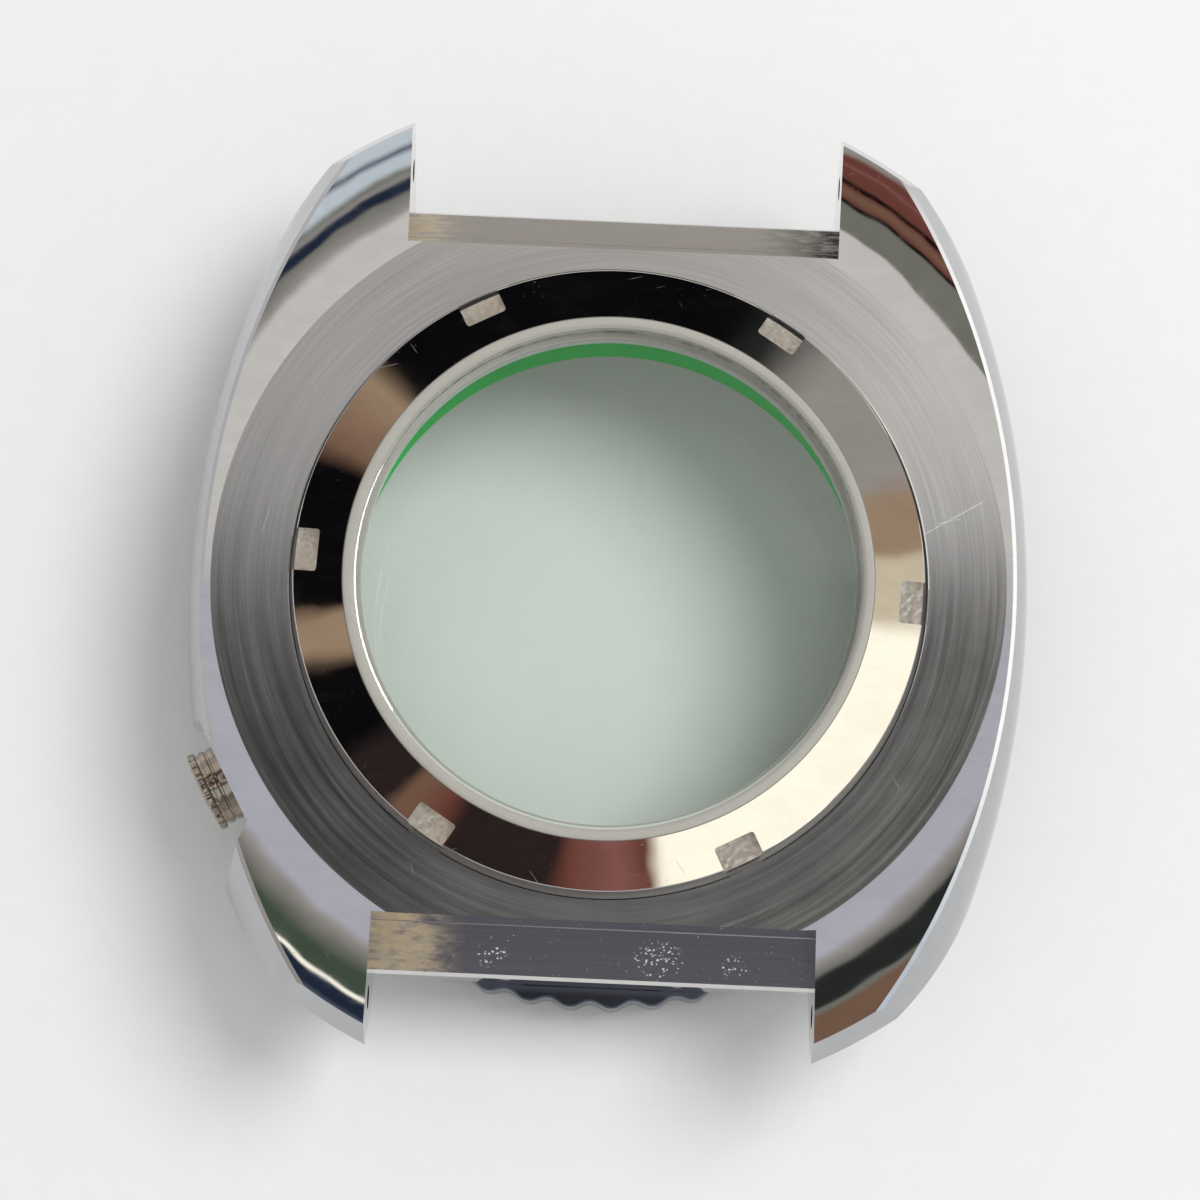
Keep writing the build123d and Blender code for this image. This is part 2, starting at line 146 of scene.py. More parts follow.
def sharpen(obj, degrees=24.0):
    """Smooth shading with every edge sharper than the angle kept hard."""
    bm = bmesh.new()
    bm.from_mesh(obj.data)
    bm.normal_update()
    limit = math.radians(degrees)
    for face in bm.faces:
        face.smooth = True
    for edge in bm.edges:
        edge.smooth = len(edge.link_faces) == 2 and edge.calc_face_angle(0.0) < limit
    bm.to_mesh(obj.data)
    bm.free()


def lathe(name, outline, body, node, slot, steps=320):
    obj = make_object(name, *lathe_data(outline, steps), body, node, slot)
    sharpen(obj)
    return obj


def arc(centre, radius, first_deg, last_deg, count):
    pts = []
    for i in range(count + 1):
        a = math.radians(first_deg + (last_deg - first_deg) * i / count)
        pts.append((centre[0] + radius * math.cos(a), centre[1] + radius * math.sin(a)))
    return pts


def rounded(points, radius, steps=4):
    """Closed outline of (radius, height) points with every corner cut round."""
    out = []
    n = len(points)
    for i, p in enumerate(points):
        a, b = Vector(points[i - 1]), Vector(points[(i + 1) % n])
        p = Vector(p)
        to_a, to_b = a - p, b - p
        size = min(radius, to_a.length * 0.45, to_b.length * 0.45)
        if p.x < 1e-6 or abs(to_a.normalized().dot(to_b.normalized())) > 0.999:
            out.append(tuple(p))
            continue
        start, end = p + to_a.normalized() * size, p + to_b.normalized() * size
        for k in range(steps + 1):
            t = k / steps
            q = start * (1 - t) ** 2 + p * 2 * t * (1 - t) + end * t ** 2
            out.append((q.x, q.y))
    return out


def prism(points, low, high, axis="Z"):
    """Straight bar over a closed flat outline, along Z, or along X from an outline in Y and Z."""
    if outline_area(points) < 0:
        points = points[::-1]
    n = len(points)

    def place(p, h):
        return (p[0], p[1], h) if axis == "Z" else (h, p[0], p[1])

    verts = [place(p, low) for p in points] + [place(p, high) for p in points]
    faces = [tuple(range(n))[::-1], tuple(range(n, 2 * n))]
    faces += [(i, (i + 1) % n, n + (i + 1) % n, n + i) for i in range(n)]
    return verts, faces


def tool_object(data, matrix=None):
    obj = make_object("tool", *data, None, None, None)
    bm = bmesh.new()
    bm.from_mesh(obj.data)
    bmesh.ops.recalc_face_normals(bm, faces=bm.faces)
    bm.to_mesh(obj.data)
    bm.free()
    if matrix is not None:
        obj.data.transform(matrix)
    return obj


def carve(obj, tools, operation="DIFFERENCE"):
    """Boolean of an object with tools, which are used up."""
    for tool in tools:
        mod = obj.modifiers.new("carve", "BOOLEAN")
        mod.operation, mod.object, mod.solver = operation, tool, "EXACT"
        graph = bpy.context.evaluated_depsgraph_get()
        mesh = bpy.data.meshes.new_from_object(obj.evaluated_get(graph))
        obj.modifiers.clear()
        old, obj.data = obj.data, mesh
        bpy.data.meshes.remove(old)
        bpy.data.meshes.remove(tool.data)
    return obj


def tube_data(outer, inner, low, high):
    return lathe_data([(inner, low), (outer, low), (outer, high), (inner, high)])


# Mid-case

def circle_through(a, b, c):
    d = 2 * (a[0] * (b[1] - c[1]) + b[0] * (c[1] - a[1]) + c[0] * (a[1] - b[1]))
    aa, bb, cc = (p[0] ** 2 + p[1] ** 2 for p in (a, b, c))
    x = (aa * (b[1] - c[1]) + bb * (c[1] - a[1]) + cc * (a[1] - b[1])) / d
    y = (aa * (c[0] - b[0]) + bb * (a[0] - c[0]) + cc * (b[0] - a[0])) / d
    return (x, y), math.hypot(a[0] - x, a[1] - y)


def angle_at(centre, p):
    return math.degrees(math.atan2(p[1] - centre[1], p[0] - centre[0]))


# The polished rise from the turned flat to the lug's ridge is an arc that starts at a slight crease.
RISE_CHORD = math.atan2(LUG_Z - BACK_Z, LUG_R - FLAT_R)
RISE_R = math.hypot(LUG_R - FLAT_R, LUG_Z - BACK_Z) / (2 * math.sin(RISE_CHORD - RISE_START))
RISE_CENTRE = (FLAT_R - RISE_R * math.sin(RISE_START), BACK_Z + RISE_R * math.cos(RISE_START))
BELLY_CENTRE, BELLY_R = circle_through(POINT, BELLY, SEAT)


def flank_half(z):
    """Half width of the case at its middle, with the bulge above and below the waist."""
    up = np.maximum(z - WAIST_Z, 0)
    down = np.maximum(WAIST_Z - z, 0)
    return WAIST_HALF - FLANK_IN * up ** 2 + FLANK_EASE * up ** 3 - FLANK_UNDER * down ** 2


def flank_x(y, z):
    r = WAIST_PLAN_R - CREST_TIGHTENING * np.maximum(z - WAIST_Z, 0)
    return flank_half(z) - r + np.sqrt(r * r - y * y)


def flank_slopes(y, z):
    """Change of the flank's width along the case and with height."""
    nudge = 0.01
    along = (flank_x(y + nudge, z) - flank_x(y - nudge, z)) / (2 * nudge)
    upward = (flank_x(y, z + nudge) - flank_x(y, z - nudge)) / (2 * nudge)
    return along, upward


def back_z(r):
    return RISE_CENTRE[1] - np.sqrt(RISE_R ** 2 - (np.maximum(r, FLAT_R) - RISE_CENTRE[0]) ** 2)


def case_outline():
    ridge, crease = angle_at(RISE_CENTRE, (LUG_R, LUG_Z)), angle_at(RISE_CENTRE, (FLAT_R, BACK_Z))
    rise = arc(RISE_CENTRE, RISE_R, ridge, crease, 14)
    belly = arc(BELLY_CENTRE, BELLY_R, angle_at(BELLY_CENTRE, SEAT), angle_at(BELLY_CENTRE, POINT), 16)
    return [(0, SEAT[1])] + belly + rise + [(0, BACK_Z)]


def lens(columns=120, rows=32):
    """Everything between the two flanks."""
    ys = [-FLANK_REACH + 2 * FLANK_REACH * i / columns for i in range(columns + 1)]
    zs = [FLANK_LOW_Z + (FLANK_HIGH_Z - FLANK_LOW_Z) * i / rows for i in range(rows + 1)]
    n = 2 * len(ys)
    verts = []
    for z in zs:
        verts += [(float(flank_x(y, z)), y, z) for y in ys]
        verts += [(-float(flank_x(y, z)), y, z) for y in ys[::-1]]
    faces = [tuple(range(n))[::-1], tuple(range(n * rows, n * (rows + 1)))]
    for k in range(rows):
        for i in range(n):
            j = (i + 1) % n
            faces.append((k * n + i, k * n + j, k * n + n + j, k * n + n + i))
    return verts, faces


def edge_wedge(side, size, count=140, reach=25.6, beyond=1.5, outside=1.2):
    """Three-sided bar along one upper flank edge, which takes off the chamfer."""
    verts, faces = [], []
    for i in range(count + 1):
        y = -reach + 2 * reach * i / count
        x, z = FLAT_R, BACK_Z
        for _ in range(30):
            z = float(back_z(math.hypot(x, y)))
            x = float(flank_x(y, z))
        slope, _ = flank_slopes(y, z)
        out = Vector((1, -float(slope), 0)).normalized()
        edge = Vector((x, y, z))
        r = math.hypot(x, y)
        lean = 0 if r < FLAT_R else math.asin((r - RISE_CENTRE[0]) / RISE_R)
        inward = Vector((-out.x, -out.y, -math.tan(lean) * (out.x * x + out.y * y) / r)) * size
        down = Vector((float(flank_x(y, z - size)) - x, 0, -size))
        a, b = edge + inward, edge + down
        corners = (a + (a - b) * beyond, b + (b - a) * beyond, edge + (out + Vector((0, 0, 1))) * outside)
        verts += [(side * p.x, p.y, p.z) for p in corners]
    n = len(corners)
    for i in range(count):
        for k in range(n):
            j = (k + 1) % n
            faces.append((i * n + k, i * n + j, i * n + n + j, i * n + n + k))
    faces += [(0, 2, 1), (count * n, count * n + 1, count * n + 2)]
    if side < 0:
        faces = [f[::-1] for f in faces]
    return verts, faces


def crown_matrix():
    """Local +Z runs out along the crown's axis, from the case axis."""
    a = math.radians(CROWN_DEG)
    out = Vector((math.cos(a), math.sin(a), 0))
    up = Vector((0, 0, 1))
    return Matrix.Translation((0, 0, CROWN_Z * MM)) @ Matrix((up, out.cross(up), out)).transposed().to_4x4()


def gap_outline():
    """Strap gap seen from the side: sloped end wall with a fine groove, its foot, and open space."""
    marks = ((0, 0), (GROOVE_HALF, GROOVE_DEPTH), (2 * GROOVE_HALF, 0))
    groove = []
    for step, depth in marks:
        run = GROOVE_START + step
        y = WALL_TOP_Y + WALL_OUT * run - WALL_DOWN * depth
        groove.append((y, BACK_Z - WALL_DOWN * run - WALL_OUT * depth))
    return [GAP_OVER_BACK, (WALL_TOP_Y, BACK_Z), *groove, WALL_FOOT, (GAP_FLOOR_Y, GAP_LIP_Z),
            (GAP_FLOOR_Y, GAP_LOW_Z), (CLEAR, GAP_LOW_Z), (CLEAR, GAP_OVER_BACK[1])]


def bar_hole(sx, sy):
    spin = Matrix.Rotation(math.radians(90 * sx), 4, "Y")
    start = GAP_HALF - 2
    drill = lathe_data([(0, start), (BAR_R, start), (BAR_R, BAR_END), (0, BAR_TIP)], 48)
    return tool_object(drill, Matrix.Translation((0, sy * BAR_Y * MM, BAR_Z * MM)) @ spin)


def case_shell():
    obj = make_object("mid_case", *lathe_data(case_outline(), 384), "case", "case_middle", "case_steel")
    carve(obj, [tool_object(lens())], "INTERSECT")
    tools = [tool_object(edge_wedge(side, CHAMFER)) for side in (1, -1)]
    for side in (1, -1):
        gap = [(side * y, z) for y, z in gap_outline()]
        tools.append(tool_object(prism(gap, -GAP_HALF, GAP_HALF, "X")))
    (near, near_half), (far, far_half) = RECESS_IN, RECESS_OUT
    recess = [(near, -near_half), (far, -far_half), (far, far_half), (near, near_half)]
    to_recess = Matrix.Rotation(math.radians(CROWN_DEG), 4, "Z")
    tools.append(tool_object(prism(recess, RECESS_LOW_Z, RECESS_HIGH_Z), to_recess))
    carve(obj, tools)
    carve(obj, [tool_object(tube_data(NECK_R, NECK_CORE_R, NECK_FRONT_Z, NECK_END_Z))], "UNION")
    mouth = BACK_RECESS_R + MOUTH_BEVEL
    bore = [
        (0, BELOW_Z), (CRYSTAL_BORE_R, BELOW_Z), (CRYSTAL_BORE_R, CRYSTAL_SEAT_Z), (CAVITY_R, CRYSTAL_SEAT_Z),
        (CAVITY_R, SEAL_FLOOR_Z), (SEAL_STEP_R, SEAL_FLOOR_Z), (SEAL_STEP_R, BACK_SEAT_Z),
        (BACK_RECESS_R, BACK_SEAT_Z), (BACK_RECESS_R, BACK_Z - MOUTH_BEVEL), (mouth, BACK_Z),
        (FLAT_R, BACK_Z + FLAT_R - mouth), (FLAT_R, ABOVE_Z), (0, ABOVE_Z),
    ]
    tools = [tool_object(lathe_data(bore))]
    tools.append(tool_object(tube_data(CLICK_GROOVE_R, NECK_R, CLICK_CUT_Z, CLICK_FLOOR_Z)))
    tools.append(tool_object(tube_data(WIRE_REACH_R, WIRE_FLOOR_R, WIRE_Z - WIRE_HALF, WIRE_Z + WIRE_HALF)))
    well = [(0, CROWN_WELL_FLOOR), (CROWN_WELL_R, CROWN_WELL_FLOOR), (CROWN_WELL_R, CLEAR), (0, CLEAR)]
    tools.append(tool_object(lathe_data(well, 96), crown_matrix()))
    tube = [(0, TUBE_BORE_IN), (TUBE_R, TUBE_BORE_IN), (TUBE_R, TUBE_BORE_OUT), (0, TUBE_BORE_OUT)]
    tools.append(tool_object(lathe_data(tube, 64), crown_matrix()))
    tools += [bar_hole(sx, sy) for sx in (1, -1) for sy in (1, -1)]
    carve(obj, tools)
    return obj


FLAT, RISE, END, UNDER, FLANK, TURNED = range(6)
TURNED_WALLS = [
    (CRYSTAL_BORE_R, -1), (CAVITY_R, -1), (BACK_RECESS_R, -1), (SEAL_STEP_R, -1), (CLICK_GROOVE_R, -1),
    (NECK_R, 1), (WIRE_FLOOR_R, 1),
]


def case_surfaces(p, n):
    """For points p with face normals n: the surface each lies on, and that surface's own normal."""
    r = np.hypot(p[:, 0], p[:, 1])
    radial = np.stack([p[:, 0] / np.maximum(r, 1e-9), p[:, 1] / np.maximum(r, 1e-9), np.zeros(len(p))], 1)
    up = np.array([0.0, 0.0, 1.0])
    ones = np.ones(len(p))
    found = np.full(len(p), -1)
    normal = n.copy()

    def take(number, distance, own, reach, where=True):
        own = own / np.linalg.norm(own, axis=1, keepdims=True)
        good = (found < 0) & (np.abs(distance) < reach) & (np.sum(own * n, 1) > 0.985) & where
        found[good] = number
        normal[good] = own[good]

    def spun(nr, nz):
        return radial * np.asarray(nr)[:, None] + up * np.asarray(nz)[:, None]

    def round_section(centre):
        dr, dz = r - centre[0], p[:, 2] - centre[1]
        size = np.hypot(dr, dz)
        return size, dr / size, dz / size

    take(FLAT, p[:, 2] - BACK_Z, spun(0 * ones, ones), 0.02, r < FLAT_R + 0.02)
    size, nr, nz = round_section(RISE_CENTRE)
    take(RISE, size - RISE_R, spun(-nr, -nz), 0.03, r > FLAT_R - 0.02)
    end_r, end_z = LUG_Z - POINT[1], POINT[0] - LUG_R
    take(END, (r - LUG_R) * end_r + (p[:, 2] - LUG_Z) * end_z, spun(end_r * ones, end_z * ones), 0.06)
    size, nr, nz = round_section(BELLY_CENTRE)
    take(UNDER, size - BELLY_R, spun(nr, nz), 0.03)
    inside = np.abs(p[:, 1]) < FLANK_REACH
    y, z = np.where(inside, p[:, 1], 0), np.clip(p[:, 2], 3, 13.5)
    along, upward = flank_slopes(y, z)
    own = np.stack([np.sign(p[:, 0]), -along, -upward], 1)
    take(FLANK, np.abs(p[:, 0]) - flank_x(y, z), own, 0.03, inside)
    for wall, sign in TURNED_WALLS:
        take(TURNED, r - wall, spun(sign * ones, 0 * ones), 0.01)
    return found, normal


def dress_case(obj):
    """Own normals for every curved surface. Returns each face's surface, centre and normal."""
    sharpen(obj)
    mesh = obj.data
    corners = np.array([c.vector for c in mesh.corner_normals])
    count = len(mesh.polygons)
    centre, flat = np.zeros(count * 3), np.zeros(count * 3)
    mesh.polygons.foreach_get("center", centre)
    mesh.polygons.foreach_get("normal", flat)
    centre, flat = centre.reshape(-1, 3) / MM, flat.reshape(-1, 3)
    kind, _ = case_surfaces(centre, flat)
    co = np.zeros(len(mesh.vertices) * 3)
    mesh.vertices.foreach_get("co", co)
    co = co.reshape(-1, 3) / MM
    loop_vert = np.zeros(len(mesh.loops), int)
    mesh.loops.foreach_get("vertex_index", loop_vert)
    loop_face = np.zeros(len(mesh.loops), int)
    for poly in mesh.polygons:
        loop_face[poly.loop_start:poly.loop_start + poly.loop_total] = poly.index
    near, own = case_surfaces(co[loop_vert], flat[loop_face])
    good = (near >= 0) & (near == kind[loop_face])
    corners[good] = own[good]
    mesh.normals_split_custom_set([tuple(v) for v in corners])
    return kind, centre, flat


# Materials

class Graph:
    """Short calls for building a node material."""

    def __init__(self, tree):
        self.tree = tree

    def node(self, kind, inputs=None, **props):
        node = self.tree.nodes.new("ShaderNode" + kind)
        for key, value in props.items():
            setattr(node, key, value)
        for key, value in (inputs or {}).items():
            self.feed(node.inputs[key], value)
        return node

    def feed(self, socket, value):
        if isinstance(value, bpy.types.NodeSocket):
            self.tree.links.new(value, socket)
        elif socket.type == "RGBA" and len(value) == 3:
            socket.default_value = (*value, 1)
        else:
            socket.default_value = value

    def math(self, op, a, b=0.0, c=0.0):
        return self.node("Math", {0: a, 1: b, 2: c}, operation=op).outputs[0]

    def minus(self, a, b):
        return self.math("SUBTRACT", a, b)

    def times(self, a, b):
        return self.math("MULTIPLY", a, b)

    def larger(self, a, b):
        return self.math("MAXIMUM", a, b)

    def size(self, a):
        return self.math("ABSOLUTE", a)

    def total(self, start, *pairs):
        """The start plus each value times its weight."""
        total = start
        for value, weight in pairs:
            total = self.math("MULTIPLY_ADD", value, weight, total)
        return total

    def vector(self, op, a, b=(0, 0, 0)):
        return self.node("VectorMath", {0: a, 1: b}, operation=op).outputs[0]

    def stretched(self, vector, factors):
        return self.vector("MULTIPLY", vector, factors)

    def length(self, a):
        return self.node("VectorMath", {0: a}, operation="LENGTH").outputs["Value"]

    def combine(self, x, y, z):
        return self.node("CombineXYZ", {0: x, 1: y, 2: z}).outputs[0]

    def split(self, a):
        return self.node("SeparateXYZ", {0: a}).outputs

    def noise(self, vector, scale, detail=2.0, rough=0.5, distortion=0.0):
        keys = {"Vector": vector, "Scale": scale, "Detail": detail}
        keys.update({"Roughness": rough, "Distortion": distortion})
        return self.node("TexNoise", keys).outputs["Fac"]

    def step(self, value, low, high, to_low=0.0, to_high=1.0):
        """Smooth step from one value to another."""
        keys = {"Value": value, "From Min": low, "From Max": high, "To Min": to_low, "To Max": to_high}
        return self.node("MapRange", keys, interpolation_type="SMOOTHSTEP").outputs[0]

    def mix(self, fac, a, b, blend="MIX"):
        node = self.tree.nodes.new("ShaderNodeMix")
        node.data_type, node.blend_type = "RGBA", blend
        for socket, value in ((node.inputs[0], fac), (node.inputs[6], a), (node.inputs[7], b)):
            self.feed(socket, value)
        return node.outputs[2]

    def toned(self, colour, tone):
        return self.mix(1.0, colour, self.combine(tone, tone, tone), "MULTIPLY")

    def ramp(self, fac, stops):
        node = self.tree.nodes.new("ShaderNodeValToRGB")
        ramp = node.color_ramp
        while len(ramp.elements) < len(stops):
            ramp.elements.new(0.5)
        for element, (place, colour) in zip(ramp.elements, stops):
            element.position, element.color = place, (*colour, 1)
        self.feed(node.inputs[0], fac)
        return node.outputs[0]

    def bump(self, height, distance, normal=None):
        keys = {"Height": height, "Distance": distance, "Strength": 1.0}
        if normal is not None:
            keys["Normal"] = normal
        return self.node("Bump", keys).outputs[0]


def material(name, base=(0.5, 0.5, 0.5), **constants):
    """New material. Returns it, its graph, its Principled shader and the place in millimetres."""
    mat = bpy.data.materials.new(name)
    mat.use_nodes = True
    graph = Graph(mat.node_tree)
    shader = mat.node_tree.nodes["Principled BSDF"]
    shader.inputs["Base Color"].default_value = (*base, 1)
    for key, value in constants.items():
        shader.inputs[key.replace("_", " ")].default_value = value
    place = graph.node("TexCoord").outputs["Object"]
    return mat, graph, shader, graph.stretched(place, (1 / MM, 1 / MM, 1 / MM))


def scratch_mark(g, x, y, first, last, half):
    """One on the straight scratch between two places, faded to nothing at its sides and ends."""
    (x1, y1), (x2, y2) = first, last
    run = math.hypot(x2 - x1, y2 - y1)
    ux, uy = (x2 - x1) / run, (y2 - y1) / run
    dx, dy = g.minus(x, x1), g.minus(y, y1)
    along = g.total(g.times(dx, ux), (dy, uy))
    aside = g.size(g.minus(g.times(dx, uy), g.times(dy, ux)))
    from_middle = g.size(g.minus(along, run / 2))
    return g.times(g.step(aside, half, half * 0.4), g.step(from_middle, run / 2, run * 0.4))


def turned_steel(name, tint, rough, streak=1.0, aniso=0.75, groove=0.0000012, on_crown=False, scratches=()):
    """Steel with lathe-turned circular grooves: streaks along circles, gloss spread across them."""
    mat, g, shader, p = material(name, tint, Metallic=1.0, Anisotropic=aniso)
    x, y, z = g.split(p)
    if on_crown:
        a = math.radians(CROWN_DEG)
        height = g.total(g.times(x, math.cos(a)), (y, math.sin(a)))
        off_x = g.minus(x, g.times(height, math.cos(a)))
        off_y = g.minus(y, g.times(height, math.sin(a)))
        off_axis = g.combine(off_x, off_y, g.minus(z, CROWN_Z))
    else:
        height = z
        off_axis = g.combine(x, y, 0.0)
    around = g.vector("NORMALIZE", off_axis)
    track = g.total(g.length(off_axis), (height, 0.9))

    def streaks(per_mm, turns, detail):
        across = g.combine(0.0, 0.0, g.times(track, per_mm))
        where = g.vector("ADD", g.stretched(around, (turns, turns, turns)), across)
        return g.noise(where, 1.0, detail, 0.6)

    fine, coarse, broad = streaks(11.0, 2.2, 3.0), streaks(3.1, 1.3, 2.0), streaks(0.9, 0.8, 2.0)
    smudge = g.noise(p, 0.18, 3.0, 0.6)
    tone = g.total(0.95 - 0.33 * streak, (fine, 0.30 * streak), (coarse, 0.22 * streak),
                   (broad, 0.14 * streak), (smudge, 0.10))
    colour = g.toned(tint, tone)
    for first, last, half in scratches:
        colour = g.mix(scratch_mark(g, x, y, first, last, half), colour, (0.95, 0.95, 0.96))
    g.feed(shader.inputs["Base Color"], colour)
    g.feed(shader.inputs["Roughness"], g.total(rough - 0.08, (coarse, 0.10), (smudge, 0.06)))
    g.feed(shader.inputs["Normal"], g.bump(g.total(fine, (coarse, 1.4)), groove))
    spaces = {"vector_type": "VECTOR", "convert_from": "OBJECT", "convert_to": "WORLD"}
    g.feed(shader.inputs["Tangent"], g.node("VectorTransform", {"Vector": around}, **spaces).outputs[0])
    return mat


def polished_steel(name, tint, rough=0.05, wave=1.0):
    """Mirror polish with slight waviness, hairline scratches and faint smears."""
    mat, g, shader, p = material(name, tint, Metallic=1.0)
    smear = g.noise(g.stretched(p, (0.5, 0.9, 0.7)), 0.9, 4.0, 0.6, 0.6)
    spots = g.step(g.noise(p, 6.0, 2.0), 0.68, 0.78)
    lines = 0.0
    for angle, seed in ((0.4, 3.0), (1.3, 11.0), (2.5, 23.0)):
        keys = {"Vector": g.vector("ADD", p, (seed, seed, 0)), "Angle": angle}
        where = g.node("VectorRotate", keys, rotation_type="Z_AXIS").outputs[0]
        line = g.noise(g.stretched(where, (14.0, 0.12, 6.0)), 1.0, 1.0)
        lines = g.larger(lines, g.step(line, 0.80, 0.83))
    g.feed(shader.inputs["Base Color"], g.toned(tint, g.step(smear, 0.3, 0.7, 0.93, 1.0)))
    gloss = g.step(smear, 0.35, 0.75, rough, rough + 0.025)
    g.feed(shader.inputs["Roughness"], g.total(gloss, (spots, 0.08), (lines, 0.12)))
    waves = g.bump(g.noise(p, 0.30, 1.0, 0.4), 0.000012 * wave)
    g.feed(shader.inputs["Normal"], g.bump(g.times(lines, -1.0), 0.0000002, waves))
    return mat


# Rubbed patches of the end wall at 6 o'clock: place across, height and radius
RUBBED = [(-5.0, 8.9, 0.9), (3.3, 9.0, 1.45), (7.0, 8.8, 0.8)]


def wall_steel(name, tint):
    """Lengthwise brushed wall between the lugs, with dried stains at its ends and rubbed pale patches. Its
    colour is painted dark as painted shade, darkest at 6 o'clock.
    """
    mat, g, shader, p = material(name, tint, Metallic=1.0, Anisotropic=0.7)
    x, y, z = g.split(p)
    at_six, at_twelve = g.math("LESS_THAN", y, 0.0), g.math("GREATER_THAN", y, 0.0)
    fine = g.noise(g.stretched(p, (0.22, 9.0, 9.0)), 1.0, 3.0, 0.6)
    coarse = g.noise(g.stretched(p, (0.10, 2.4, 2.4)), 1.0, 2.0)
    grain = g.noise(p, 1.6, 5.0, 0.7)
    # Painted shade: the wall at 6 o'clock gets a far darker colour than at 12 o'clock.
    painted_shade_at_six = g.mix(at_six, tint, [c * k for c, k in zip(tint, (0.34, 0.36, 0.48))])
    colour = g.toned(painted_shade_at_six, g.total(0.6, (fine, 0.45), (coarse, 0.35)))

    # The pale stain is on both ends at 12 o'clock and on one at 6 o'clock, the burnt one at 12 o'clock.
    ends = g.step(g.size(g.minus(x, g.times(at_six, 1.6))), 7.6, 10.8)
    ends = g.times(ends, g.larger(at_twelve, g.math("LESS_THAN", x, 0.0)))
    mottle = g.noise(g.stretched(p, (0.55, 1.0, 1.0)), 1.7, 5.0, 0.6)
    stain = g.times(g.step(g.total(mottle, (ends, 0.16)), 0.38, 0.84), ends)
    colour = g.mix(g.times(stain, 0.9), colour, (0.74, 0.60, 0.40))
    burnt = g.times(g.step(x, 6.0, 10.6), at_twelve)
    burnt = g.times(burnt, g.step(g.total(mottle, (burnt, 0.15)), 0.40, 0.68))
    colour = g.mix(burnt, colour, (0.035, 0.03, 0.025))

    cells = g.node("TexVoronoi", {"Vector": g.stretched(p, (5.5, 5.0, 3.2)), "Scale": 1.0})
    flakes = g.step(cells.outputs["Distance"], 0.42, 0.30)
    flakes = g.times(flakes, g.step(g.noise(p, 3.4, 2.0), 0.45, 0.55))
    rubbed = 0.0
    for cx, cz, radius in RUBBED:
        away = g.length(g.combine(g.minus(x, cx), 0.0, g.minus(z, cz)))
        away = g.total(away, (g.minus(grain, 0.5), 1.6))
        rubbed = g.larger(rubbed, g.step(away, radius, radius * 0.55))
    stray = g.step(g.noise(p, 7.0, 1.0), 0.74, 0.80)
    specks = g.larger(g.times(flakes, g.times(rubbed, at_six)), g.times(stray, 0.7))
    g.feed(shader.inputs["Base Color"], g.mix(specks, colour, (0.92, 0.90, 0.88)))
    matt = g.times(g.larger(stain, specks), 0.62)
    g.feed(shader.inputs["Roughness"], g.larger(g.total(0.26, (coarse, 0.16)), matt))
    g.feed(shader.inputs["Normal"], g.bump(g.total(fine, (specks, 2.0)), 0.000004))
    g.feed(shader.inputs["Tangent"], g.combine(0.0, 0.55, 0.83))
    return mat


def frosted_steel(name, tint):
    """Notch floors: pressed, lightly hammered and matt, with painted shade in the dents."""
    mat, g, shader, p = material(name, tint, Metallic=1.0)
    dents = g.node("TexVoronoi", {"Vector": p, "Scale": 3.2}, feature="SMOOTH_F1").outputs["Distance"]
    grain = g.noise(p, 9.0, 4.0, 0.7)
    # The tone follows the dents: painted shade, darkest at the bottom of each dent.
    g.feed(shader.inputs["Base Color"], g.toned(tint, g.total(0.72, (grain, 0.4), (dents, 0.25))))
    g.feed(shader.inputs["Roughness"], g.step(grain, 0.3, 0.7, 0.3, 0.5))
    g.feed(shader.inputs["Normal"], g.bump(g.total(dents, (grain, 0.25)), 0.00011))
    return mat


def plastic(name, base, rough, speck=0.1, grain=4.0, bump=0.000004, **constants):
    """Moulded or painted surface: soft tone variation, fine grain and uneven gloss."""
    mat, g, shader, p = material(name, base, **constants)
    cloud, dust = g.noise(p, 0.5, 3.0), g.noise(p, grain, 3.0, 0.6)
    tone = g.total(1.0 - speck, (cloud, speck), (dust, speck))
    g.feed(shader.inputs["Base Color"], g.toned(base, tone))
    g.feed(shader.inputs["Roughness"], g.step(dust, 0.3, 0.7, rough - 0.05, rough + 0.08))
    g.feed(shader.inputs["Normal"], g.bump(dust, bump))
    return mat


def clear_glass(name, tint, veil):
    """Clear glass that lets plain light through to what is behind it, with a faint dusty veil."""
    mat, g, shader, p = material(name, tint, IOR=1.45, Transmission_Weight=1.0, Specular_IOR_Level=0.22)
    dust = g.noise(p, 1.2, 4.0, 0.65)
    specks = g.step(g.noise(p, 8.0, 1.0), 0.76, 0.81)
    g.feed(shader.inputs["Roughness"], g.total(g.step(dust, 0.45, 0.8, 0.0, veil), (specks, 0.2)))
    g.feed(shader.inputs["Base Color"], g.mix(g.step(dust, 0.3, 0.8), tint, [c * 0.985 for c in tint]))
    g.feed(shader.inputs["Normal"], g.bump(dust, 0.0000004))
    path = g.node("LightPath").outputs
    open_way = g.node("BsdfTransparent", {"Color": [math.sqrt(c) for c in tint]}).outputs[0]
    either = g.larger(path["Is Shadow Ray"], path["Is Diffuse Ray"])
    both = g.node("MixShader", {0: either, 1: shader.outputs[0], 2: open_way}).outputs[0]
    g.feed(mat.node_tree.nodes["Material Output"].inputs["Surface"], both)
    return mat


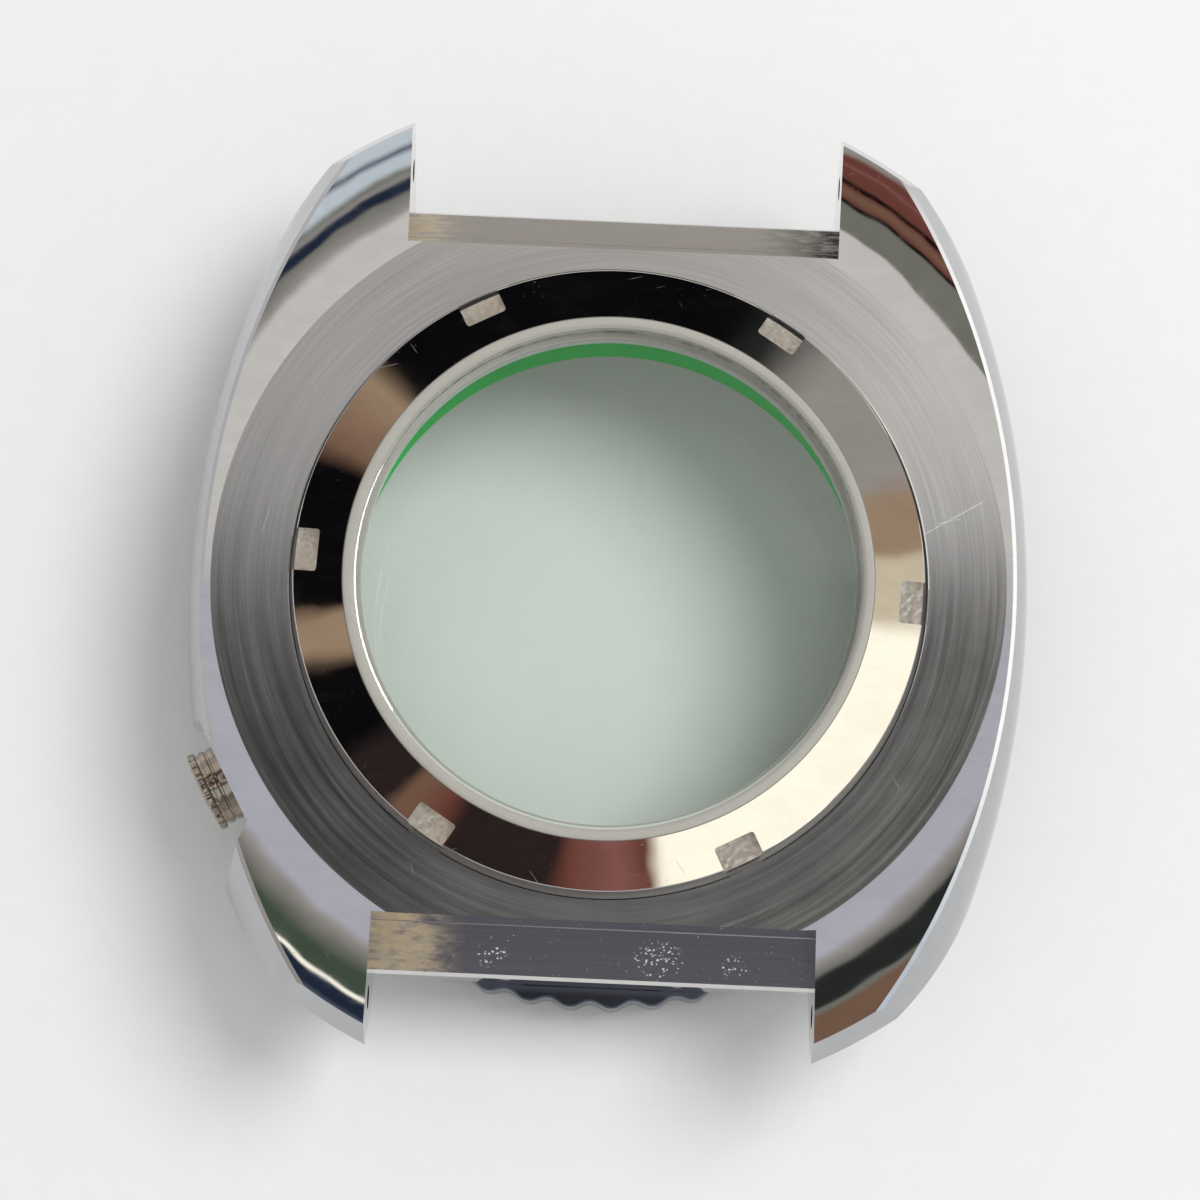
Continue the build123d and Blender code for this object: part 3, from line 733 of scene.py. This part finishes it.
# Scratches on the flat back: two ends and half the width, in millimetres
SCRATCHES = [
    ((15.4, 2.8), (18.9, 4.95), 0.05), ((16.4, 3.6), (17.6, 3.9), 0.03), ((14.6, -9.4), (14.9, -9.9), 0.05),
    ((-9.2, -14.6), (-9.0, -15.3), 0.04), ((-17.6, 1.5), (-17.2, 2.9), 0.03),
]
turned_back = turned_steel("turned_back", (0.68, 0.675, 0.665), 0.12, 1.6, 0.5, 0.0000008,
                           scratches=SCRATCHES)
turned_bore = turned_steel("turned_bore", (0.55, 0.54, 0.53), 0.34, 0.8)
# The crown's tint, darker and warmer than the case's steel, is a painted reflection.
crown_painted_reflection = turned_steel("crown_painted_reflection", (0.40, 0.34, 0.275), 0.12, 1.2, 0.5, 0.000001, on_crown=True)
mirror_case = polished_steel("mirror_case", (0.68, 0.675, 0.67), 0.02)
# A darker copy of the polished case steel for the flanks and lug ends: painted shade.
mirror_flank_painted_shade = polished_steel("mirror_flank_painted_shade", (0.46, 0.465, 0.48), 0.03)
mirror_ring = polished_steel("mirror_ring", (0.70, 0.685, 0.655), 0.015, 0.6)
# The bezel's very dark blue-grey tint is painted shade, standing in for the shadow of the case that it lies
# in.
bezel_painted_shade = polished_steel("bezel_painted_shade", (0.095, 0.105, 0.135), 0.18)
# The wall's tint, far darker than the case's other steel, is painted shade.
wall_painted_dark = wall_steel("wall_painted_dark", (0.32, 0.285, 0.25))
notch_frost = frosted_steel("notch_frost", (0.82, 0.74, 0.63))
spring_metal = turned_steel("spring_metal", (0.52, 0.51, 0.50), 0.30, 0.7)
green_paint = plastic("green_paint", (0.006, 0.47, 0.065), 0.5, 0.08, 5.0, 0.000003, IOR=1.3)
cream_seal = plastic("cream_seal", (0.36, 0.345, 0.305), 0.40, 0.12, 3.0, 0.000005)
white_seal = plastic("white_seal", (0.74, 0.72, 0.66), 0.42, 0.1, 3.0)
black_rubber = plastic("black_rubber", (0.016, 0.016, 0.017), 0.55, 0.3, 5.0, 0.00001)
insert_satin = plastic("insert_satin", (0.012, 0.013, 0.018), 0.33, 0.25, 9.0, 0.000003, Metallic=0.35)
scale_inlay = plastic("scale_inlay", (0.80, 0.80, 0.76), 0.45, 0.08, 6.0)
pip_lume = plastic("pip_lume", (0.74, 0.82, 0.62), 0.4, 0.14, 7.0, 0.000008)
back_glass_mat = clear_glass("back_glass_clear", (0.975, 0.995, 0.983), 0.02)
front_glass_mat = clear_glass("front_glass_clear", (0.98, 0.998, 0.988), 0.015)

looks = {
    "crystal": front_glass_mat, "crystal_gasket": white_seal, "chapter_ring": green_paint,
    "bezel": bezel_painted_shade, "bezel_insert": insert_satin, "bezel_scale": scale_inlay, "bezel_pip": pip_lume,
    "bezel_retaining_wire": spring_metal, "bezel_gasket": black_rubber, "click_spring": spring_metal,
    "case_back_ring": mirror_ring, "case_back_glass": back_glass_mat, "case_back_glass_gasket": cream_seal,
    "case_back_gasket": black_rubber, "crown": crown_painted_reflection, "crown_tube": spring_metal,
    "crown_gasket": black_rubber, "crown_washer": spring_metal, "crown_post": crown_painted_reflection,
    "case_middle": turned_bore,
}


def give(obj, *mats):
    obj.data.materials.clear()
    for mat in mats:
        obj.data.materials.append(mat)
    return obj


for name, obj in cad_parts.items():
    give(obj, looks[name])


# Mid-case and its finishes

mid_case = case_shell()
kind, centres, normals = dress_case(mid_case)
give(mid_case, turned_back, mirror_case, wall_painted_dark, turned_bore, mirror_flank_painted_shade)
TURNED_BACK, MIRROR, WALL, BORE, FLANK_PAINTED_SHADE = range(5)
WALL_FROM_Y, WALL_FROM_Z = 15, 7.5
for poly in mid_case.data.polygons:
    (cx, cy, cz), (_, ny, nz), k = centres[poly.index], normals[poly.index], kind[poly.index]
    between_lugs = abs(cx) < GAP_HALF - 0.01 and abs(cy) > WALL_FROM_Y and cz > WALL_FROM_Z
    number = MIRROR
    if k == FLAT:
        number = TURNED_BACK
    # Flanks and lug ends take the darker copy of the polished steel, which is painted shade.
    elif k in (END, FLANK):
        number = FLANK_PAINTED_SHADE
    elif k == TURNED or (k < 0 and abs(nz) > 0.9 and math.hypot(cx, cy) < FLAT_R):
        number = BORE
    elif k < 0 and abs(ny) > 0.3 and between_lugs:
        number = WALL
    poly.material_index = number

# Screw-down back

RING_BEVEL, RING_LIP, RING_DIP = 0.04, 0.03, 0.002
ring_outline = [
    (SKIRT_IN_R, SKIRT_Z), (SKIRT_R, SKIRT_Z), (SKIRT_R, BACK_SEAT_Z), (RING_R, BACK_SEAT_Z),
    (RING_R, RING_EDGE_Z - RING_BEVEL), (RING_R - RING_BEVEL, RING_EDGE_Z + RING_DIP),
    (GLASS_SEAT_R + RING_LIP, RING_INNER_Z - RING_DIP), (GLASS_SEAT_R, RING_INNER_Z - RING_LIP),
    (GLASS_SEAT_R, SHELF_BACK_Z), (SHELF_R, SHELF_BACK_Z), (SHELF_R, SHELF_FRONT_Z),
    (SKIRT_IN_R, SHELF_FRONT_Z),
]
back_ring = make_object("back_ring", *lathe_data(ring_outline, 384), "back", "case_back_ring", "ring_steel")
NOTCH_OUT_R, NOTCH_CORNER, NOTCH_TOP_Z = 17.5, 0.18, 14.0
notch = rounded([
    (NOTCH_IN_R, -NOTCH_HALF), (NOTCH_OUT_R, -NOTCH_HALF),
    (NOTCH_OUT_R, NOTCH_HALF), (NOTCH_IN_R, NOTCH_HALF),
], NOTCH_CORNER, 5)
notch_tools = []
for i in range(NOTCHES):
    spin = Matrix.Rotation(math.radians(NOTCH_PHASE_DEG + 360 / NOTCHES * i), 4, "Z")
    notch_tools.append(tool_object(prism(notch, NOTCH_Z, NOTCH_TOP_Z), spin))
carve(back_ring, notch_tools)
sharpen(back_ring, 20)
give(back_ring, mirror_ring, notch_frost, turned_bore)
TURNED_BELOW_Z = 11.3
for poly in back_ring.data.polygons:
    z = poly.center.z / MM
    if poly.normal.z > 0.9 and abs(z - NOTCH_Z) < 0.05:
        poly.material_index = 1
    elif z < TURNED_BELOW_Z:
        poly.material_index = 2

GLASS_EDGE, GLASS_BEVEL = 0.05, 0.09
glass_outline = [
    (0, GLASS_FRONT_Z), (GLASS_R - GLASS_EDGE, GLASS_FRONT_Z), (GLASS_R, GLASS_FRONT_Z + GLASS_EDGE),
    (GLASS_R, GLASS_BACK_Z - GLASS_BEVEL), (GLASS_R - GLASS_BEVEL, GLASS_BACK_Z), (0, GLASS_BACK_Z),
]
give(lathe("back_glass", glass_outline, "back", "case_back_glass", "back_glass"), back_glass_mat)
seal_outline = rounded([
    (SEAL_LIP_R, SHELF_BACK_Z), (GLASS_SEAT_R, SHELF_BACK_Z), (GLASS_SEAT_R, SEAL_TOP_Z - 0.06),
    (GLASS_SEAT_R - 0.14, SEAL_TOP_Z), (GLASS_R + 0.19, SEAL_TOP_Z), (GLASS_R, GLASS_BACK_Z + 0.02),
    (GLASS_R, GLASS_FRONT_Z), (SEAL_LIP_R, GLASS_FRONT_Z),
], 0.05)
give(lathe("back_glass_seal", seal_outline, "back", "case_back_glass_gasket", "gasket_cream"), cream_seal)


def seal_ring(name, low_r, high_r, low, high, body, node, steps=192, matrix=None):
    """Round rubber ring in the space its flat stand-in holds."""
    mid_r, half_r = (low_r + high_r) / 2, (high_r - low_r) / 2
    mid_z, half_z = (low + high) / 2, (high - low) / 2
    outline = [(mid_r + half_r * c, mid_z + half_z * s) for c, s in arc((0, 0), 1, 0, 345, 23)]
    obj = make_object(name, *lathe_data(outline, steps), body, node, "black_rubber")
    if matrix is not None:
        obj.data.transform(matrix)
    sharpen(obj, 50)
    return give(obj, black_rubber)


seal_ring("back_seal_ring", 14.92, 15.43, 9.85, 10.31, "back_seal", "case_back_gasket")
seal_ring("bezel_seal_ring", 17.46, 17.72, 3.85, 4.55, "case", "bezel_gasket")
seal_ring("crown_seal_ring", 1.18, 1.56, 21.3, 21.65, "crown_seal", "crown_gasket", 72, crown_matrix())

# Front glass and chapter ring

crystal_outline = [
    (0, CRYSTAL_FRONT_Z), (CRYSTAL_R - CRYSTAL_BEVEL, CRYSTAL_FRONT_Z),
    (CRYSTAL_R, CRYSTAL_FRONT_Z + CRYSTAL_BEVEL), (CRYSTAL_R, CRYSTAL_SEAT_Z), (0, CRYSTAL_SEAT_Z),
]
give(lathe("front_glass", crystal_outline, "case", "crystal", "front_glass"), front_glass_mat)
gasket_outline = rounded([
    (CRYSTAL_R, NECK_FRONT_Z), (CRYSTAL_BORE_R, NECK_FRONT_Z), (CRYSTAL_BORE_R, CRYSTAL_SEAT_Z),
    (CRYSTAL_R, CRYSTAL_SEAT_Z),
], 0.06)
give(lathe("front_glass_seal", gasket_outline, "case", "crystal_gasket", "nylon_white", 256), white_seal)
CHAPTER_EDGE, CHAPTER_LIP = 0.03, 0.04
chapter_outline = [
    (CHAPTER_LOW_R, CRYSTAL_SEAT_Z), (CHAPTER_R, CRYSTAL_SEAT_Z), (CHAPTER_R, CHAPTER_TOP_Z),
    (CHAPTER_TOP_R + CHAPTER_EDGE, CHAPTER_TOP_Z), (CHAPTER_TOP_R, CHAPTER_TOP_Z - CHAPTER_EDGE),
    (CHAPTER_LOW_R, CRYSTAL_SEAT_Z + CHAPTER_LIP),
]
give(lathe("chapter_slope", chapter_outline, "case", "chapter_ring", "ring_green"), green_paint)

# Bezel

def swept(rows, count, place_of, name, body, node, slot, degrees, matrix=None):
    """Closed turned body whose rows may vary with the angle: place_of gives a radius and a height."""
    verts = []
    for row in rows:
        for i in range(count):
            a = 2 * math.pi * i / count
            r, z = place_of(row, a)
            verts.append((r * math.cos(a), r * math.sin(a), z))
    faces = []
    for k in range(len(rows)):
        for i in range(count):
            j, m = (i + 1) % count, (k + 1) % len(rows)
            faces.append((k * count + i, k * count + j, m * count + j, m * count + i))
    obj = make_object(name, verts, faces, body, node, slot)
    if matrix is not None:
        obj.data.transform(matrix)
    bm = bmesh.new()
    bm.from_mesh(obj.data)
    bmesh.ops.remove_doubles(bm, verts=bm.verts, dist=1e-7)
    bmesh.ops.recalc_face_normals(bm, faces=bm.faces)
    bm.to_mesh(obj.data)
    bm.free()
    sharpen(obj, degrees)
    return obj


def scallop(a):
    """Depth of the bezel's scallops at an angle: wide round hollows between softly rounded crests."""
    return SCALLOP_DEPTH * (0.5 + 0.5 * math.cos(SCALLOPS * a)) ** SCALLOP_POWER


def click_notch(a):
    half = 180 / CLICKS
    away = abs((math.degrees(a) + half) % (2 * half) - half) * math.radians(1) * CLICK_R
    return max(0.0, CLICK_DEPTH * (1 - away / CLICK_HALF))


def bezel_row(row, a):
    r, z, scallops, notch = row
    return r - scallops * scallop(a), z - notch * click_notch(a)


# Inside the widest radius: distance in, height and share of the scallops' depth
BEZEL_EDGE = [
    (0.55, 0.25, 0.2), (0.29, 0.5, 0.6), (0.08, 0.74, 1), (0.01, 0.9, 1), (0, 1.0, 1), (0, 3.55, 1),
    (0.02, 3.66, 1), (0.11, BEZEL_BACK_Z, 1),
]
RIM_EDGE, BORE_EDGE, CLICK_STEP = 0.05, 0.05, 0.01
wire_low, wire_high = WIRE_Z - WIRE_HALF, WIRE_Z + WIRE_HALF
# Radius, height, share of the scallops' depth, share of the click notches' depth
bezel_rows = [
    (MOUTH_R, INSERT_Z, 0, 0), (RIM_IN_R, INSERT_Z, 0, 0), (RIM_IN_R, RIM_EDGE, 0, 0),
    (RIM_IN_R + RIM_EDGE, 0.0, 0, 0), (RIM_OUT_R - 0.07, 0.0, 0, 0), (RIM_OUT_R + 0.01, 0.03, 0, 0),
]
bezel_rows += [(BEZEL_R - inward, z, share, 0) for inward, z, share in BEZEL_EDGE]
bezel_rows += [
    (CLICK_OUT_R + CLICK_STEP, BEZEL_BACK_Z, 0, 0), (CLICK_OUT_R, BEZEL_BACK_Z, 0, 1),
    (CLICK_IN_R, BEZEL_BACK_Z, 0, 1), (CLICK_IN_R - CLICK_STEP, BEZEL_BACK_Z, 0, 0),
    (BEZEL_BORE_R + BORE_EDGE, BEZEL_BACK_Z, 0, 0), (BEZEL_BORE_R, BEZEL_BACK_Z - BORE_EDGE, 0, 0),
    (BEZEL_BORE_R, wire_high, 0, 0), (WIRE_GROOVE_R, wire_high, 0, 0), (WIRE_GROOVE_R, wire_low, 0, 0),
    (BEZEL_BORE_R, wire_low, 0, 0), (BEZEL_BORE_R, WEB_Z, 0, 0), (MOUTH_R, WEB_Z, 0, 0),
]
give(swept(bezel_rows, 1440, bezel_row, "bezel_scalloped", "bezel", "bezel", "bezel_steel", 30), bezel_painted_shade)

# Crown

def crown_row(row, a):
    r, z, teeth = row
    away = abs((a / (2 * math.pi) * CROWN_TEETH + 0.5) % 1 - 0.5)
    gap = max(0.0, 1 - away / TOOTH_GAP)
    return r - teeth * TOOTH_DEPTH * min(1.0, gap * 1.6), z


# Radius, distance out along the crown's axis, share of the teeth's depth
AXIS_R = 0.0001
crown_rows = [
    (AXIS_R, CROWN_OUT, 0), (0.7, 23.07, 0), (1.5, 23.05, 0), (1.85, 23.0, 0.2), (CROWN_BODY_R, 22.98, 0.7),
    (2.07, 22.95, 1), (CROWN_RIM_R, 22.9, 1), (CROWN_RIM_R, 22.7, 1), (2.08, 22.64, 1), (2.02, RIM_LOW, 1),
    (1.9, 22.58, 0.2),
    (CROWN_GROOVE_R, 22.5, 0), (CROWN_GROOVE_R, 22.42, 0), (1.97, 22.38, 0), (CROWN_BODY_R, 22.2, 0),
    (1.96, 22.12, 0), (CROWN_GROOVE_R, 22.08, 0), (CROWN_GROOVE_R, 22.0, 0), (1.96, 21.96, 0),
    (CROWN_BODY_R, 21.7, 0), (CROWN_BODY_R, 21.45, 0), (CROWN_GROOVE_R, 21.4, 0), (CROWN_GROOVE_R, 21.32, 0),
    (1.97, 21.28, 0), (CROWN_BODY_R, 20.85, 0), (1.9, CROWN_IN, 0),
    (CROWN_BORE_R, CROWN_IN, 0), (CROWN_BORE_R, CROWN_HOLLOW_END, 0), (POST_R, CROWN_HOLLOW_END, 0),
    (POST_R, POST_END, 0), (AXIS_R, POST_END, 0),
]
crown_piece = swept(crown_rows, 352, crown_row, "crown_knurled", "crown", "crown", "crown_steel", 28,
                    crown_matrix())
give(crown_piece, crown_painted_reflection)

# Floor, light and camera

FLOOR_HALF, FLOOR_DROP_M = 3000, 0.00002
PAPER = (0.74, 0.74, 0.73)
floor_corners = [(sx * FLOOR_HALF, sy * FLOOR_HALF, 0) for sx, sy in ((-1, -1), (1, -1), (1, 1), (-1, 1))]
floor = make_object("floor", floor_corners, [(0, 1, 2, 3)], None, None, None)
floor.location.z = -FLOOR_DROP_M
paper, g, shader, p = material("paper", PAPER, Roughness=0.85)
fibre = g.noise(p, 0.6, 5.0, 0.65)
g.feed(shader.inputs["Base Color"], g.toned(PAPER, g.step(fibre, 0.3, 0.7, 0.985, 1.0)))
g.feed(shader.inputs["Normal"], g.bump(fibre, 0.00002))
give(floor, paper)


def grey(value, warmth=0.0):
    return value, value * (1 - warmth / 2), value * (1 - warmth)


# Tones of the room that the metal reflects, dark to light, cool and warm
BLACK, SMOKE, NAVY = (0.004, 0.004, 0.005), (0.028, 0.032, 0.03), (0.02, 0.03, 0.06)
MOSS, SLATE, STONE = (0.075, 0.105, 0.075), (0.13, 0.15, 0.20), (0.23, 0.23, 0.20)
GREY, LILAC, PALE, ICE = (0.40, 0.375, 0.355), (0.58, 0.58, 0.65), (0.77, 0.75, 0.72), (0.72, 0.80, 0.88)
UMBER, BROWN, RUST, ROSE = (0.03, 0.02, 0.02), (0.19, 0.065, 0.05), (0.24, 0.14, 0.095), (0.32, 0.13, 0.12)
TAN, SAND, CREAM = (0.44, 0.31, 0.21), (0.80, 0.70, 0.54), (1.5, 1.44, 1.24)

# What the polished back ring reflects, by the angle round it in degrees
RING_ROOM = [
    (-180, BLACK), (-173, BLACK), (-170, TAN), (-164, TAN), (-161, BLACK), (-147, BLACK), (-144, UMBER),
    (-135, UMBER), (-132, RUST), (-124, BROWN), (-120, UMBER), (-100, UMBER), (-96, BROWN), (-86, ROSE),
    (-80, BROWN), (-77, CREAM), (-8, CREAM), (-4, SAND), (8, SAND), (10, TAN), (19, TAN), (23, GREY),
    (46, GREY), (60, SMOKE), (68, BLACK), (138, BLACK), (143, TAN), (156, RUST), (160, BLACK), (180, BLACK),
]
# What the turned flat back reflects, by the angle round it
FLAT_ROOM = [
    (-180, grey(0.16)), (-172, grey(0.036)), (-135, grey(0.032)), (-100, grey(0.12)), (-60, grey(0.075)),
    (-9, grey(0.03)), (5, grey(0.05)), (13, grey(0.75)), (40, grey(0.84, 0.1)), (70, grey(0.62, 0.11)),
    (110, grey(0.56, 0.12)), (150, grey(0.54, 0.04)), (166, grey(0.49, 0.03)), (180, grey(0.16)),
]
# What each lug's polished back reflects, by the distance from the case axis of the place that reflects it
LUG_ROOMS = {
    (1, 1): [
        (20, LILAC), (21.4, LILAC), (21.8, GREY), (22.4, STONE), (23.0, MOSS), (23.78, MOSS), (23.82, CREAM),
        (23.94, CREAM), (23.98, NAVY), (24.6, NAVY), (24.8, SLATE), (25.2, SLATE), (25.6, STONE),
    ],
    (-1, 1): [
        (20, LILAC), (21.3, LILAC), (21.7, GREY), (22.2, STONE), (22.35, SMOKE), (23.45, SMOKE),
        (23.55, STONE), (23.7, STONE), (23.8, RUST), (24.9, RUST), (24.97, BLACK), (25.25, BLACK),
        (25.4, PALE),
    ],
    (-1, -1): [
        (20, PALE), (21.65, PALE), (21.75, STONE), (23.1, STONE), (23.13, BLACK), (23.28, BLACK),
        (23.33, BROWN), (23.7, RUST), (24.0, BROWN), (24.03, BLACK), (24.16, BLACK), (24.2, BROWN),
        (24.7, BROWN), (24.8, ROSE), (24.9, BROWN), (25.2, BROWN), (25.4, GREY),
    ],
    (1, -1): [
        (20, PALE), (21.5, PALE), (21.9, GREY), (22.65, STONE), (22.72, NAVY), (23.15, NAVY), (23.3, GREY),
        (23.6, STONE), (23.9, ICE), (24.4, ICE), (24.7, SLATE), (24.95, ICE), (25.5, ICE),
    ],
}
# The room is laid out by how far a direction leans from a centre near the camera. A lug's place at
# radius r reflects the lean LUG_LEAN + LEAN_PER_MM * (r - FLAT_R).
ROOM_CENTRE_Y = 0.18
LUG_LEAN, LEAN_PER_MM = 0.237, 0.041
RING_LEAN_LOW, RING_LEAN_HIGH, RING_BLUR = 0.172, 0.224, 0.006
FLAT_LEAN_HIGH, FLAT_BLUR = 0.168, 0.004
MIDDLE_LEAN, MIDDLE_LEAN_FULL, MIDDLE_TONE = 0.075, 0.045, (0.27, 0.27, 0.29)
WOBBLE, SEAM = 0.015, 0.03


def sky_colour(g):
    """Room that the metal reflects, as rings and bands about the point that the camera is near."""
    way = g.node("TexCoord").outputs["Generated"]
    x, y, z = g.split(way)
    wobble = g.node("TexNoise", {"Vector": way, "Scale": 9.0, "Detail": 3.0}).outputs["Color"]
    wobble = g.stretched(g.vector("SUBTRACT", wobble, (0.5, 0.5, 0.5)), (WOBBLE, WOBBLE, 0.0))
    wx, wy, _ = g.split(g.vector("ADD", way, wobble))
    wy = g.minus(wy, ROOM_CENTRE_Y)
    away = g.length(g.combine(wx, wy, 0.0))
    turn = g.math("MULTIPLY_ADD", g.math("ARCTAN2", wy, wx), 0.5 / math.pi, 0.5)

    bands = {}
    for corner, stops in LUG_ROOMS.items():
        bands[corner] = g.ramp(away, [(LUG_LEAN + LEAN_PER_MM * (r - FLAT_R), paint) for r, paint in stops])
    to_right, to_top = g.step(wx, -SEAM, SEAM), g.step(wy, -SEAM, SEAM)
    top = g.mix(to_right, bands[(-1, 1)], bands[(1, 1)])
    bottom = g.mix(to_right, bands[(-1, -1)], bands[(1, -1)])
    horizon = g.mix(g.step(x, 0.3, 0.8), (0.58, 0.58, 0.60), (1.5, 1.5, 1.48))
    colour = g.mix(g.step(z, 0.38, 0.56), horizon, g.mix(to_top, bottom, top))

    def sectors(colour, low, high, edge, stops):
        paint = g.ramp(turn, [(deg / 360 + 0.5, paint) for deg, paint in stops])
        mask = g.times(g.step(away, low - edge, low + edge), g.step(away, high + edge, high - edge))
        return g.mix(mask, colour, paint)

    colour = sectors(colour, RING_LEAN_LOW, RING_LEAN_HIGH, RING_BLUR, RING_ROOM)
    colour = sectors(colour, -1.0, FLAT_LEAN_HIGH, FLAT_BLUR, FLAT_ROOM)
    return g.mix(g.step(away, MIDDLE_LEAN, MIDDLE_LEAN_FULL), colour, MIDDLE_TONE)


world = bpy.data.worlds.new("studio")
bpy.context.scene.world = world
world.use_nodes = True
g = Graph(world.node_tree)
room = world.node_tree.nodes["Background"]
g.feed(room.inputs["Color"], sky_colour(g))
room.inputs["Strength"].default_value = 1.0
plain_wall = g.node("Background", {"Color": (0.86, 0.86, 0.86), "Strength": 1.0}).outputs[0]
soft_fill = g.node("Background", {"Color": (0.72, 0.72, 0.725), "Strength": 1.0}).outputs[0]
path = g.node("LightPath").outputs
fill = g.node("MixShader", {0: path["Is Diffuse Ray"], 1: room.outputs[0], 2: soft_fill}).outputs[0]
shown = g.node("MixShader", {0: path["Is Camera Ray"], 1: fill, 2: plain_wall}).outputs[0]
g.feed(world.node_tree.nodes["World Output"].inputs["Surface"], shown)

LAMP_PLACE_M, LAMP_WIDTH_M, LAMP_WATTS = (0.27, 0.14, 0.52), 0.30, 2.2
lamp = bpy.data.lights.new("softbox", "AREA")
lamp.shape, lamp.size, lamp.energy = "DISK", LAMP_WIDTH_M, LAMP_WATTS
softbox = bpy.data.objects.new("softbox", lamp)
softbox.location = LAMP_PLACE_M
softbox.rotation_euler = Vector(LAMP_PLACE_M).to_track_quat("Z", "Y").to_euler()
softbox.visible_glossy = False
bpy.context.scene.collection.objects.link(softbox)

bpy.context.scene.view_settings.view_transform = "Standard"

# The camera stands above the case, leaning to the 6 o'clock side. Its angles are about X, Y and Z, and its
# place is in its own directions, from the back's centre.
CAMERA_DEG, CAMERA_PLACE = (-10.34, -0.31, -2.56), (-0.43, -1.02, 180.84)
SENSOR_MM, LENS_MM = 36, 108


def turn(rx, ry, rz):
    return Matrix.Rotation(rz, 3, "Z") @ Matrix.Rotation(rx, 3, "X") @ Matrix.Rotation(ry, 3, "Y")


from_camera = turn(*[math.radians(a) for a in CAMERA_DEG]).transposed()
eye = from_camera @ Vector(CAMERA_PLACE) + Vector((0, 0, BACK_Z))
camera_data = bpy.data.cameras.new("camera")
camera_data.sensor_width = SENSOR_MM
camera_data.lens = LENS_MM
camera_data.clip_start = 0.01
camera = bpy.data.objects.new("camera", camera_data)
camera.matrix_world = Matrix.Translation(eye * MM) @ from_camera.to_4x4()
bpy.context.scene.collection.objects.link(camera)
bpy.context.scene.camera = camera
